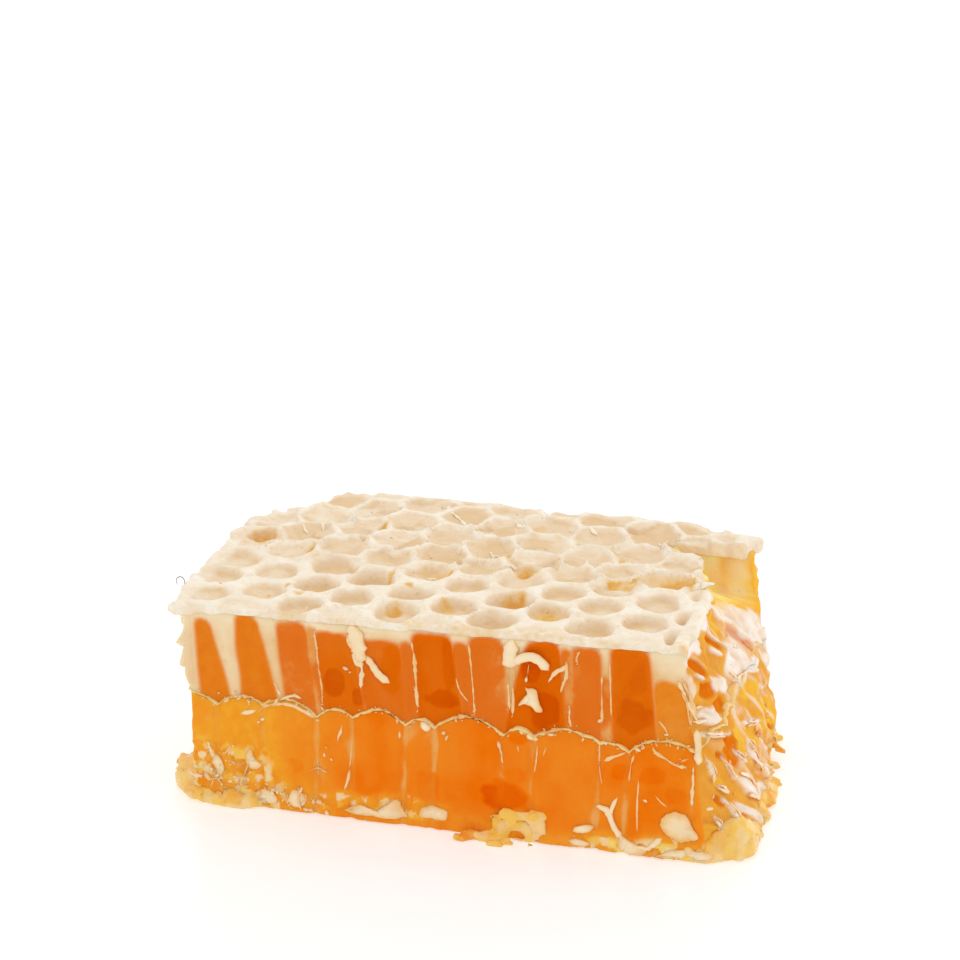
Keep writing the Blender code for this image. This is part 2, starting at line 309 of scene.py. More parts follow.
def make_group(name, inputs, outputs):
    """An empty shader node group; each socket is (name, kind, value), where value is its default."""
    group = bpy.data.node_groups.new(name, "ShaderNodeTree")
    for direction, sockets in (("INPUT", inputs), ("OUTPUT", outputs)):
        for label, kind, value in sockets:
            socket = group.interface.new_socket(name=label, in_out=direction, socket_type=kind)
            if value is not None:
                socket.default_value = value
    return group, group.nodes.new("NodeGroupInput").outputs, group.nodes.new("NodeGroupOutput").inputs


def add_node(tree, kind, links=(), **settings):
    """A node with its settings; links pairs an input's name or number with a socket or a value."""
    made = tree.nodes.new(kind)
    for key, value in settings.items():
        setattr(made, key, value)
    for where, source in links:
        if isinstance(source, bpy.types.NodeSocket):
            tree.links.new(source, made.inputs[where])
        else:
            made.inputs[where].default_value = source
    return made


def add_math(tree, operation, a, b=0.0, c=0.0):
    return add_node(tree, "ShaderNodeMath", [(0, a), (1, b), (2, c)], operation=operation).outputs[0]


def add_range(tree, value, low, high, to_low=0.0, to_high=1.0):
    """Runs a value's range low to high on to to_low to to_high, held at both ends."""
    links = [("Value", value), ("From Min", low), ("From Max", high), ("To Min", to_low), ("To Max", to_high)]
    return add_node(tree, "ShaderNodeMapRange", links).outputs["Result"]


def add_mix(tree, share, a, b):
    """Mixes two colours, each a socket or a plain colour."""
    made = add_node(tree, "ShaderNodeMix", data_type="RGBA")
    for number, source in ((0, share), (6, a), (7, b)):
        if isinstance(source, bpy.types.NodeSocket):
            tree.links.new(source, made.inputs[number])
        else:
            made.inputs[number].default_value = source if number == 0 else (*source, 1.0)
    return made.outputs[2]


def add_noise(tree, size_mm, detail=2.0, stretch=None):
    """Noise over the object, with features about size_mm millimetres across; stretch scales x, y and z."""
    place = add_node(tree, "ShaderNodeTexCoord").outputs["Object"]
    if stretch:
        place = add_node(tree, "ShaderNodeMapping", [("Vector", place), ("Scale", stretch)]).outputs[0]
    links = [("Vector", place), ("Scale", 1.0 / (size_mm * MM)), ("Detail", detail), ("Roughness", 0.55)]
    return add_node(tree, "ShaderNodeTexNoise", links).outputs["Fac"]


def add_value(tree, name):
    """The value with this name that the mesh carries at each point."""
    return add_node(tree, "ShaderNodeAttribute", attribute_name=name).outputs["Fac"]


def wax_grain_group():
    """Beeswax: a pale and a warm tone in soft clouds, fine flecks, and the height of its grain."""
    group, into, out = make_group(
        "wax_grain",
        [
            ("Pale", "NodeSocketColor", None),
            ("Warm", "NodeSocketColor", None),
            ("Warmth", "NodeSocketFloat", 0.0),
        ],
        [("Color", "NodeSocketColor", None), ("Height", "NodeSocketFloat", None)],
    )
    clouds = add_range(group, add_noise(group, 3.0, 2.0), 0.35, 0.7)
    flecks = add_range(group, add_noise(group, 0.7, 1.0), 0.6, 0.75, 0.0, 0.18)
    warmth = add_math(group, "MULTIPLY_ADD", clouds, 0.35, into["Warmth"])
    warmth = add_math(group, "ADD", warmth, flecks)
    warmth = add_math(group, "MINIMUM", warmth, 1.0)
    group.links.new(add_mix(group, warmth, into["Pale"], into["Warm"]), out["Color"])
    grain = add_math(group, "MULTIPLY_ADD", add_noise(group, 0.35, 3.0), 0.5, add_noise(group, 1.4, 2.0))
    group.links.new(grain, out["Height"])
    return group


WAX_GRAIN = wax_grain_group()


def place_group(tree, group, **values):
    """A copy of a node group in a material, with its inputs set."""
    made = tree.nodes.new("ShaderNodeGroup")
    made.node_tree = group
    for key, value in values.items():
        if isinstance(value, bpy.types.NodeSocket):
            tree.links.new(value, made.inputs[key])
        else:
            made.inputs[key].default_value = (*value, 1.0) if isinstance(value, tuple) else value
    return made.outputs


def lay_finish(tree, shader, colour, height, bump_mm):
    """Gives a material its colour and the fine relief of its surface, bump_mm from low to high."""
    bump = add_node(tree, "ShaderNodeBump", [("Height", height), ("Distance", bump_mm * MM)])
    tree.links.new(colour, shader["Base Color"])
    tree.links.new(bump.outputs["Normal"], shader["Normal"])


def start_material(name, roughness, specular, glow_mm, glow=0.3, coat=0.0, coat_roughness=0.1):
    """A material whose light spreads about glow_mm under the surface; gives it, its tree and its shader."""
    material = bpy.data.materials.new(name)
    material.use_nodes = True
    shader = material.node_tree.nodes["Principled BSDF"]
    shader.inputs["Roughness"].default_value = roughness
    shader.inputs["Specular IOR Level"].default_value = specular
    shader.inputs["Subsurface Weight"].default_value = glow
    shader.inputs["Subsurface Radius"].default_value = (1.0, 0.65, 0.3)
    shader.inputs["Subsurface Scale"].default_value = glow_mm * MM
    shader.inputs["Coat Weight"].default_value = coat
    shader.inputs["Coat Roughness"].default_value = coat_roughness
    return material, material.node_tree, shader.inputs


def rib_material():
    material, tree, shader = start_material("midrib_wax", roughness=0.4, specular=0.3, glow_mm=0.5)
    wax = place_group(tree, WAX_GRAIN, Pale=tone(250, 220, 150), Warm=tone(240, 180, 92), Warmth=0.05)
    lay_finish(tree, shader, wax["Color"], wax["Height"], 0.12)
    return material


def rib_mesh():
    """The ragged edge of the midrib, one ring round the block that rounds outward."""
    x0, y0, _, _ = on_cut(np.full(len(RING_TOP), RIB_MEAN))
    middle = rib_height(x0, y0)
    angles = np.linspace(-math.pi / 2, math.pi / 2, RIB_ROWS)[:, None]
    ragged = uneven(x0, y0, 0.0, 0.45, 31) + 0.6 * uneven(x0, y0, 0.0, 1.3, 32)
    width = RIB_WIDTH / 2 * np.clip(1.0 + 0.55 * ragged, 0.35, 2.2)
    proud = 0.1 + 0.13 * ragged
    x, y, nx, ny = on_cut(np.broadcast_to(middle, (RIB_ROWS, len(middle))))
    wobble = 0.1 * uneven(x0, y0, 0.0, 0.35, 33)
    z = middle + wobble + width * np.sin(angles)
    out = -0.35 + (0.35 + proud) * np.cos(angles)
    return ring_mesh("midrib", x + nx * out, y + ny * out, z, {})


add_piece(rib_mesh(), rib_material(), "midrib_wax", "midrib_wax")

# ---------------------------------------------------------------------------------------------
# Lower cells. Six-sided wax tubes full of light orange honey, mouths down. Cut through, each shows
# as a soft arch under the midrib; the left end is crushed, so its honey is yellow and cloudy.
# ---------------------------------------------------------------------------------------------

# Darker pools in the honey on the front cut: x, height, half width, half height, extra depth.
LOWER_POOLS = [
    (5.3, 4.3, 2.4, 1.5, 2.6),
    (6.3, 6.5, 1.3, 0.7, 0.8),
    (-16.0, 4.9, 1.0, 0.8, 1.6),
    (-20.0, 6.0, 2.6, 0.7, 0.7),
    (16.6, 8.0, 0.9, 0.7, 0.9),
    (19.5, 8.0, 1.3, 0.9, 1.0),
    (21.8, 6.4, 1.1, 0.8, 0.9),
    (-2.5, 4.0, 1.2, 2.0, 0.7),
    (6.4, 10.2, 0.9, 0.5, 1.2),
    (-25.9, 4.4, 0.8, 1.5, 1.3),
]


def pools_at(pools, x, z):
    """Extra honey depth from a list of pools, with soft uneven edges."""
    depth = 0.0
    for px, pz, wide, high, extra in pools:
        reach = np.abs((x - px) / wide) ** 2.4 + np.abs((z - pz) / high) ** 2.4
        reach = reach + 0.6 * uneven(x, 0.0, z, 1.1, 41) + 0.2 * uneven(x, 0.0, z, 0.5, 40)
        depth = depth + extra * (1.0 - smooth(0.65, 1.35, reach))
    return depth


def front_cells(x, z):
    """On the front below the midrib: the distance to a wall, the share across the cell, and its width."""
    slide = 0.02 * (z - 10.0) + 0.12 * uneven(x, 0.0, z, 2.2, 42)
    wall = np.full(np.shape(x), FAR, np.float32)
    share = np.zeros(np.shape(x), np.float32)
    width = np.ones(np.shape(x), np.float32)
    for (left, _, _), (right, _, _) in zip(FRONT_ARCHES, FRONT_ARCHES[1:]):
        here = x - slide
        inside = (here >= left) & (here < right)
        share = np.where(inside, (here - left) / (right - left), share)
        width = np.where(inside, right - left, width)
        wall = np.minimum(wall, np.abs(here - left))
    return wall, share, width


def shards(x, y, z, size, seed):
    """Broken facets about size across: their height and tilt, their tint, and how far their edge is."""
    places = np.broadcast_arrays(*[np.asarray(v, np.float32) / size for v in (x, y, z)])
    bases = [np.floor(v).astype(np.int32) for v in places]
    nearest = np.full(places[0].shape, FAR, np.float32)
    second, height, tint = nearest.copy(), nearest.copy(), nearest.copy()
    for number in range(27):
        steps = number // 9 - 1, number // 3 % 3 - 1, number % 3 - 1
        a, b, c = [base + step for base, step in zip(bases, steps)]
        pick = [BUMPS[(a + 7 * n + seed) & 31, (b + 3 * n) & 31, (c + 5 * n) & 31] for n in range(6)]
        gaps = [place - cell - 0.5 - 0.42 * shift for place, cell, shift in zip(places, (a, b, c), pick)]
        away = gaps[0] ** 2 + gaps[1] ** 2 + gaps[2] ** 2
        nearer = away < nearest
        second = np.where(nearer, nearest, np.minimum(second, away))
        nearest = np.where(nearer, away, nearest)
        tilt = gaps[0] * pick[4] + gaps[1] * pick[5] + gaps[2] * pick[2]
        height = np.where(nearer, 0.5 * pick[3] + tilt, height)
        tint = np.where(nearer, pick[5], tint)
    return height, tint, np.sqrt(second) - np.sqrt(nearest)


def torn_at(nx):
    """How much of the torn end's finish a place has, from the way it faces."""
    return smooth(0.35, 0.8, nx)


# What the torn end shows in smears: place from front to back and up, half length, half width, and how
# many degrees each one climbs towards the back.
# The white smears are white wax and painted highlight together: near-white where the wet torn end would
# shine.
WHITE_WAX_AND_HIGHLIGHT_SMEARS = [
    (-15.9, 17.3, 3.4, 1.4, -85),
    (-13.3, 17.2, 1.4, 0.22, -30),
    (-6.4, 17.2, 1.8, 0.32, -32),
    (-4.2, 17.4, 2.6, 0.24, -50),
    (-1.0, 19.2, 1.5, 0.55, -45),
    (-9.8, 15.2, 1.4, 0.45, -45),
    (-13.0, 13.3, 2.2, 0.8, -20),
    (-6.5, 13.8, 2.8, 0.8, -25),
    (1.2, 13.5, 5.0, 2.1, -30),
    (6.0, 11.2, 4.8, 0.8, -18),
    (9.0, 14.0, 8.8, 1.6, -30),
    (14.0, 8.6, 3.2, 0.9, -25),
    (-12.4, 7.9, 1.4, 0.2, -70),
    (-11.0, 6.4, 1.4, 0.22, -25),
    (-6.4, 6.6, 2.2, 0.26, -35),
    (-7.5, 4.0, 3.4, 1.0, -35),
    (-9.8, 2.4, 4.2, 0.55, -35),
    (-2.0, 1.3, 3.2, 0.9, -25),
    (-0.8, 4.2, 2.0, 0.75, -45),
    (2.8, 1.4, 3.0, 0.8, -25),
    (-1.4, 5.9, 1.2, 0.32, -45),
    (2.5, 6.6, 2.8, 0.22, -18),
    (8.6, 8.0, 1.2, 0.32, -20),
    (6.5, 19.6, 3.0, 0.3, -20),
    (-12.5, 11.2, 3.0, 0.25, -18),
    (-2.2, 11.0, 1.5, 0.18, 22),
    (-13.7, 4.3, 1.4, 0.3, -70),
    (-14.9, 8.6, 1.5, 0.16, -80),
    (-13.6, 6.2, 1.1, 0.18, -45),
    (-15.2, 3.4, 0.9, 0.16, -75),
]
# The same for its clear yellow honey.
GOLD_SMEARS = [
    (1.0, 19.5, 2.3, 1.8, -30),
    (7.0, 17.6, 3.0, 1.3, -15),
    (13.0, 17.3, 4.5, 2.8, -10),
    (-4.7, 7.6, 3.0, 1.6, -35),
    (2.0, 5.4, 3.3, 1.2, -20),
    (11.0, 4.0, 6.0, 2.0, -20),
    (-3.0, 18.8, 1.8, 1.0, -30),
    (-16.2, 1.8, 1.6, 1.6, 0),
    (-14.2, 7.2, 1.6, 0.6, -50),
    (-13.0, 1.6, 1.6, 0.7, -30),
    (5.0, 9.2, 4.5, 0.9, -15),
]
# The same for its dark open hollows.
DEEP_SMEARS = [
    (-9.9, 8.5, 2.9, 1.7, -20),
    (-12.8, 17.8, 2.3, 0.6, -35),
    (-12.0, 15.4, 2.2, 0.8, -15),
    (-9.0, 12.9, 2.4, 0.8, -15),
    (-5.7, 17.9, 2.2, 0.45, -40),
    (5.0, 14.2, 3.8, 0.36, -40),
    (4.9, 4.4, 1.0, 0.35, -20),
    (12.5, 2.0, 4.2, 0.28, -27),
    (-14.9, 2.0, 1.2, 0.6, -20),
    (-14.6, 5.3, 0.8, 0.45, -60),
    (-13.2, 9.4, 1.0, 0.35, -40),
    (-12.6, 3.6, 1.1, 0.3, -35),
]


def smeared(smears, y, z, ragged):
    """How far a place on the torn end lies inside any of the smears."""
    cover = 0.0
    for middle, level, long, wide, climb in smears:
        cos, sin = math.cos(math.radians(climb)), math.sin(math.radians(climb))
        dy, dz = y - middle, z - level
        reach = np.hypot((cos * dy + sin * dz) / long, (cos * dz - sin * dy) / wide)
        cover = np.maximum(cover, 1.0 - smooth(0.7, 1.1, reach + ragged))
    return cover


def tongues(along, across, x, width, seed):
    """Overlapping tongues about width across: a place's share of their slope, their crest, their tint."""
    broad = across / width + 0.8 * uneven(0.22 * along, 0.5 * across, 0.3 * x, 1.6, seed)
    phase = broad % 1.0
    tint = uneven(0.15 * along, 2.3 * np.floor(broad), 0.0, 1.0, seed + 2)
    fall = smooth(1.0, 1.0 - 0.45 / width, phase)
    return phase * fall, smooth(0.6, 0.75, phase) * fall, tint


def torn_relief(x, y, z):
    """The torn end: how far its shreds stand out, its white places (wax and painted highlight), and its
    yellow and deep places.
    """
    along, across = 0.78 * y - 0.62 * z, 0.62 * y + 0.78 * z
    across = across + 0.9 * uneven(x, y, z, 4.5, 45)
    slope, broad_crest, tint = tongues(along, across, x, 3.1, 45)
    fine, fine_crest, fine_tint = tongues(along, across + 0.1 * along, x, 1.5, 55)
    fray = uneven(0.3 * along, across, x, 0.5, 57)
    ragged = 0.35 * uneven(0.35 * along, across, x, 1.1, 58) + 0.2 * (fine - 0.5) + 0.2 * fray
    white_wax_and_highlight = smeared(WHITE_WAX_AND_HIGHLIGHT_SMEARS, y, z, ragged)
    deep = smeared(DEEP_SMEARS, y, z, 0.6 * ragged)
    gold = smeared(GOLD_SMEARS, y, z, ragged)
    out = 0.45 * slope + 0.16 * fine + 0.6 * uneven(x, y, z, 3.5, 49) + 0.07 * fray - 0.45
    out = out + 0.3 * white_wax_and_highlight * (1.0 + 0.6 * fray) - 0.3 * deep
    # Painted highlight: the crests of the tongues are whitened, added to the white wax of the smears and a
    # pale veil at the back.
    crest = broad_crest * smooth(0.0, 0.4, tint) + fine_crest * smooth(0.2, 0.5, fine_tint)
    crest = crest * smooth(-14.8, -12.8, y)
    veil = 0.4 * smooth(-5.0, 0.0, y) * (1.0 - gold) * smooth(-0.5, 0.5, tint + fray)
    white_wax_and_highlight = np.maximum(white_wax_and_highlight * (0.9 + 0.25 * fray), veil)
    white_wax_and_highlight = np.clip(white_wax_and_highlight + 0.7 * crest * (1.0 - deep), 0.0, 1.0)
    gold = np.clip(0.2 + 0.8 * gold + 0.35 * fine_tint, 0.0, 1.0)
    return out, white_wax_and_highlight, gold, np.clip(deep, 0.0, 1.0)


def lower_relief(x, y, z, nx, ny):
    """How far the lower cells' surface stands out of the plain cut, and what it carries."""
    front = smooth(0.6, 0.9, -ny)
    torn = torn_at(nx)
    # The shape: soft arches between the walls in front, opened cells on the other sides.
    _, lattice_wall, _, behind = comb_at(x + 0.03 * z, y, LOWER_FIRST, 2, (-nx, -ny))
    behind = np.clip(behind, 0.0, 4.0)
    line, share, width = front_cells(x, z)
    arch = 1.0 - (2.0 * share - 1.0) ** 2
    out_front = -0.22 * (1.0 - smooth(0.0, 0.7, line)) + 0.16 * arch * smooth(2.0, 5.0, width)
    out_side = -0.3 * smooth(0.2, 1.2, lattice_wall) * smooth(0.8, 3.0, behind)
    out = mix(out_side, out_front, front)
    # Where the comb is crushed to facets: low at the left end, and along the foot.
    left = smooth(-13.0, -19.0, x + 0.5 * z) * smooth(7.5, 4.5, z + 0.8 * uneven(x, y, z, 1.6, 43))
    under = smooth(2.6, 0.9, z + 0.8 * uneven(x, y, 0.0, 2.2, 38)) * (0.35 + 0.65 * smooth(10.0, 16.0, x))
    shelf = smooth(3.2, 2.2, z + 0.8 * uneven(x, y, 0.0, 2.2, 38)) * smooth(0.5, 1.0, z)
    under = np.maximum(under, 0.75 * shelf * smooth(-16.0, -13.0, x) * smooth(1.0, -3.0, x))
    crushed = np.maximum(left * smooth(9.0, 3.0, y), under) * (1.0 - torn)
    high, tint, _ = shards(x, y, z, 1.5, 5)
    fine, fine_tint, _ = shards(x, y, z, 0.65, 14)
    fine_tint = mix(tint, fine_tint, np.maximum(front, torn))
    out = out + 0.1 * uneven(x, y, z, 1.9, 43) + 0.03 * uneven(x, y, z, 0.7, 44)
    out = out + crushed * (0.2 * high + 0.07 * fine + 0.05)
    shreds, white_wax_and_highlight, yellow, deep = torn_relief(x, y, z)
    out = mix(out, shreds, torn)
    # What the honey shows: its depth before the next wall, its milk, and the wax over it.
    depth_front = 0.95 + 0.45 * arch * smooth(2.5, 5.0, width) + 0.5 * uneven(x, 0.0, z, 2.6, 46)
    depth_front = depth_front + 0.9 * ((7.3 * width) % 1.0 - 0.5)
    rim = mix(0.2, 1.0, smooth(0.0, 0.55, line + 0.3 * uneven(x, 0.0, z, 1.2, 39)))
    depth_front = depth_front * rim + pools_at(LOWER_POOLS, x, z)
    depth = mix(behind * 0.6, depth_front, front)
    depth = mix(depth, 1.0 + 0.8 * fine_tint, crushed)
    depth = mix(depth, 1.2 + 2.6 * deep, torn)
    milk = smooth(-8.5, -21.0, x) * 0.95 + 0.3 * smooth(15.0, 24.0, x)
    milk = np.clip(milk + 0.3 * uneven(x, y, z, 2.4, 48) * (0.3 + milk), 0.0, 1.0)
    milk = mix(milk, 0.35 + 0.3 * uneven(x, y, z, 3.0, 49), 1.0 - np.maximum(front, torn))
    milk = mix(milk, np.clip(1.2 + 0.6 * tint + 0.4 * fine_tint, 0.4, 1.7), crushed)
    milk = mix(milk, yellow * (1.0 - deep), torn)
    soft = mix(0.2, 0.02, front)
    pale = smooth(0.3, 0.8, crushed) * smooth(0.5 - soft, 0.5 + soft, fine_tint + 0.3 * tint)
    # On the torn end the wax cover carries the white smears, which are wax and painted highlight.
    wax = np.maximum(0.8 * pale, torn * white_wax_and_highlight)
    film = mix(0.1 + 0.3 * tint, 0.25 + 0.3 * uneven(x, y, z, 1.5, 59), torn)
    return out, {"depth": depth, "milk": milk, "wax": wax, "torn": torn, "film": film}


# The tones of cut honey: the bare wall behind it, thin, clear and deep honey, and where it is cloudy.
HONEY_TONES = ("Wall", "Thin", "Clear", "Deep", "Cloudy")


def honey_group():
    """Honey over wax: its colour deepens with the honey in front of the next wall, and clouds with milk."""
    group, into, out = make_group(
        "honey_depth",
        [(name, "NodeSocketColor", None) for name in HONEY_TONES]
        + [("Depth", "NodeSocketFloat", 1.0), ("Milk", "NodeSocketFloat", 0.0)],
        [("Color", "NodeSocketColor", None)],
    )
    swirl = add_range(group, add_noise(group, 3.2, 1.0, (1.0, 1.0, 0.6)), 0.42, 0.58, -0.3, 0.3)
    depth = add_math(group, "MULTIPLY_ADD", add_noise(group, 1.2, 3.0), 0.7, into["Depth"])
    depth = add_math(group, "SUBTRACT", depth, 0.3)
    depth = add_math(group, "ADD", depth, swirl)
    colour = add_mix(group, add_range(group, depth, 0.0, 0.55), into["Wall"], into["Thin"])
    colour = add_mix(group, add_range(group, depth, 0.7, 2.2), colour, into["Clear"])
    colour = add_mix(group, add_range(group, depth, 2.4, 4.0), colour, into["Deep"])
    patches = add_range(group, add_noise(group, 1.1, 3.0), 0.3, 0.65, 0.55, 1.0)
    milk = add_math(group, "MULTIPLY", into["Milk"], patches)
    group.links.new(add_mix(group, milk, colour, into["Cloudy"]), out["Color"])
    return group


HONEY_DEPTH = honey_group()

# Pale yellow of broken honey; in the bite under the lids it is also painted light, brighter than the honey
# itself, to stand against the shade there.
PALE_HONEY_AND_PAINTED_LIGHT = tone(255, 238, 138)
# The five tones of honey, in the order of HONEY_TONES, on the torn end.
TORN_HONEY = [
    tone(236, 178, 96), tone(235, 170, 76), tone(234, 146, 40),
    tone(229, 118, 18), tone(251, 190, 62),
]
# The pale and the warm tone of the wax on the cut sides, and of the wax smeared over the torn end, whose
# near-white pale tone also paints the torn end's highlights.
CREAM = [tone(248, 228, 190), tone(232, 186, 122)]
SMEARED_WAX_AND_HIGHLIGHT = [tone(255, 247, 241), tone(246, 210, 168)]


def honey_material(name, tones):
    """Cut honey with wax over it: wax is cream on the sides, and glossy and whiter on the torn end, where its
    white also paints highlights.

    Milk from 0 to 1 clouds the honey; from 1 to 2 it turns to the pale yellow of broken honey, which in the
    bite is also painted light against its shade.
    """
    material, tree, shader = start_material(
        name, roughness=0.3, specular=0.0, glow_mm=0.8, coat_roughness=0.12
    )
    torn = add_value(tree, "torn")
    tones = [add_mix(tree, torn, cut, drawn) for cut, drawn in zip(tones, TORN_HONEY)]
    milk = add_value(tree, "milk")
    depth = add_value(tree, "depth")
    honey = place_group(tree, HONEY_DEPTH, Depth=depth, Milk=milk, **dict(zip(HONEY_TONES, tones)))
    honey_colour = add_mix(tree, add_range(tree, milk, 1.0, 2.0), honey["Color"], PALE_HONEY_AND_PAINTED_LIGHT)
    pale, warm = [add_mix(tree, torn, cut, drawn) for cut, drawn in zip(CREAM, SMEARED_WAX_AND_HIGHLIGHT)]
    film = add_math(tree, "MULTIPLY", add_value(tree, "film"), 0.75)
    wax = place_group(tree, WAX_GRAIN, Pale=pale, Warm=warm, Warmth=film)
    cover = add_value(tree, "wax")
    gloss = add_math(tree, "MULTIPLY", torn, add_range(tree, cover, 0.4, 1.0, 0.0, 0.25))
    tree.links.new(gloss, shader["Coat Weight"])
    colour = add_mix(tree, cover, honey_colour, wax["Color"])
    lay_finish(tree, shader, colour, add_noise(tree, 0.9, 3.0), 0.12)
    return material


LOWER_ROWS = 56
LOWER_EDGE = 0.12
LOWER_HONEY = [
    tone(240, 176, 96), tone(242, 138, 34), tone(242, 116, 4),
    tone(230, 90, 0), tone(245, 170, 48),
]


def skin_rows(low, high, rows, relief):
    """A cut face between two wavy heights: its rings, outward directions and carried values."""
    z = mix(low, high, np.linspace(0.0, 1.0, rows)[:, None]) + np.zeros((rows, len(RING_TOP)))
    x, y, nx, ny = on_cut(z)
    out, values = relief(x, y, z, nx, ny)
    return x + nx * out, y + ny * out, z, nx, ny, values


def tuck(x, y, z, nx, ny, values, end, insets):
    """Turns one end of a stack of rings inward: insets are (inward, height)."""
    for inset, height in insets:
        pick = slice(-1, None) if end else slice(0, 1)
        new = [x[pick] - nx[pick] * inset, y[pick] - ny[pick] * inset, np.full_like(z[pick], height)]
        new = [*new, nx[pick], ny[pick]]
        old = [x, y, z, nx, ny]
        x, y, z, nx, ny = [np.concatenate([a, b] if end else [b, a]) for a, b in zip(old, new)]
        values = {k: np.concatenate([v, v[pick]] if end else [v[pick], v]) for k, v in values.items()}
    return x, y, z, nx, ny, values


def lower_mesh():
    """The lower cells' skin, from the foot to the midrib, turned in at both ends."""
    x0, y0, _, _ = on_cut(np.full(len(RING_TOP), RIB_MEAN))
    stack = skin_rows(LOWER_EDGE, rib_height(x0, y0), LOWER_ROWS, lower_relief)
    stack = tuck(*stack, 0, [(0.7, 0.1), (2.4, 0.9)])
    x, y, z, _, _, values = tuck(*stack, 1, [(2.0, RIB_MEAN - 0.9)])
    return ring_mesh("lower_honey", x, y, z, values)


lower_material = honey_material("lower_honey", LOWER_HONEY)
add_piece(lower_mesh(), lower_material, "lower_honey", "lower_cells")

# ---------------------------------------------------------------------------------------------
# Upper cells. The same tubes, mouths up, full of darker clear honey. The knife ran just in front of
# a row of flat walls, which stand as pale panels between the open cells; wax hides the left ones.
# ---------------------------------------------------------------------------------------------

# The middle of one of the upper cells, and the height from which they lean.
UPPER_FIRST = (12.5, -12.75)
LEAN_FROM = 16.0
WINDOW_HIGH, WINDOW_FOOT = 19.0, 12.0
# Each clear window in the wax on the front: left edge and right edge, at 19 mm and at 12 mm up, its top,
# the honey in front of the wall behind, and its cloudiness.
WINDOWS = [
    (-26.05, -25.6, -24.45, -22.5, 19.25, 1.7, 0.55),
    (-21.95, -21.4, -19.45, -17.6, 20.1, 1.8, 0.5),
    (-17.75, -16.9, -14.55, -13.6, 19.75, 0.8, 0.0),
    (-14.8, -13.9, -13.6, -12.9, 19.5, 0.4, 0.1),
    (-13.95, -13.3, -10.3, -8.8, 19.05, 1.8, 0.1),
    (-10.3, -9.0, -5.3, -4.6, 18.65, 1.2, 0.0),
    (-5.6, -5.0, -4.0, -3.4, 18.8, 0.6, 0.0),
    (-4.3, -3.8, -0.1, 1.0, 19.85, 2.2, 0.0),
    (-0.4, 0.7, 1.5, 2.2, 19.3, 0.7, 0.0),
    (1.35, 2.0, 4.75, 5.4, 20.05, 0.75, 0.0),
    (6.7, 5.0, 10.4, 11.2, 20.0, 2.6, 0.0),
    (10.2, 10.9, 11.6, 11.8, 19.6, 0.6, 0.1),
    (11.3, 11.5, 14.2, 14.5, 19.85, 0.8, 0.0),
    (14.0, 14.3, 15.2, 15.6, 17.2, 0.35, 0.1),
    (15.0, 15.4, 18.9, 19.9, 20.25, 2.1, 0.1),
    (18.9, 19.7, 21.0, 24.6, 17.2, 0.7, 0.8),
]
# Darker pools behind the windows: x, height, half width, half height, extra depth.
UPPER_POOLS = [
    (-12.0, 13.8, 1.0, 1.4, 1.8),
    (-9.5, 12.6, 0.6, 0.8, 1.8),
    (-6.4, 15.9, 1.0, 2.6, 1.0),
    (-0.6, 16.8, 0.7, 2.6, 1.0),
    (-1.2, 13.3, 1.7, 0.9, 1.7),
    (8.9, 13.0, 1.4, 1.6, 1.5),
    (7.5, 16.8, 0.9, 1.1, 1.2),
    (17.5, 13.5, 1.7, 1.6, 1.4),
    (17.0, 17.5, 1.5, 2.2, 0.6),
]


def windows_at(x, z):
    """On the front above the midrib: how far inside a window a place is, its honey and cloudiness."""
    share = (z - WINDOW_FOOT) / (WINDOW_HIGH - WINDOW_FOOT)
    clear = np.full(np.shape(x), -9.0, np.float32)
    weights, honey, cloud = 1e-9, 0.0, 0.0
    for left_high, left_foot, right_high, right_foot, top, depth, milk in WINDOWS:
        side = np.minimum(x - mix(left_foot, left_high, share), mix(right_foot, right_high, share) - x)
        up = top - z
        inside = np.minimum(side, up) - 0.22 * np.exp(-((side - up) / 0.5) ** 2)
        weight = np.exp(np.clip(side, -3.0, 0.8) / 0.12)
        weights, honey, cloud = weights + weight, honey + weight * depth, cloud + weight * milk
        clear = np.maximum(clear, inside)
    return clear, honey / weights, cloud / weights


def upper_lean(x):
    """Sideways run of the upper cells per millimetre up: steep at the left end, none at the right."""
    return -0.05 - 0.22 * smooth(-7.0, -17.0, x)


def upper_comb(x, y, z, inward=None):
    """The comb of the upper cells at any height, as comb_at gives it."""
    return comb_at(x - upper_lean(x) * (z - LEAN_FROM), y, UPPER_FIRST, 1, inward)


def broken_back(y):
    """How far the lids have broken away back from the torn end, at a place along it."""
    y = y + 0.5 * uneven(0.0, y, 0.0, 2.2, 89)
    return (1.2 + 0.3 * y + 1.6 * smooth(10.6, 12.2, y)) * smooth(0.3, 1.8, y) * smooth(13.5, 12.5, y)


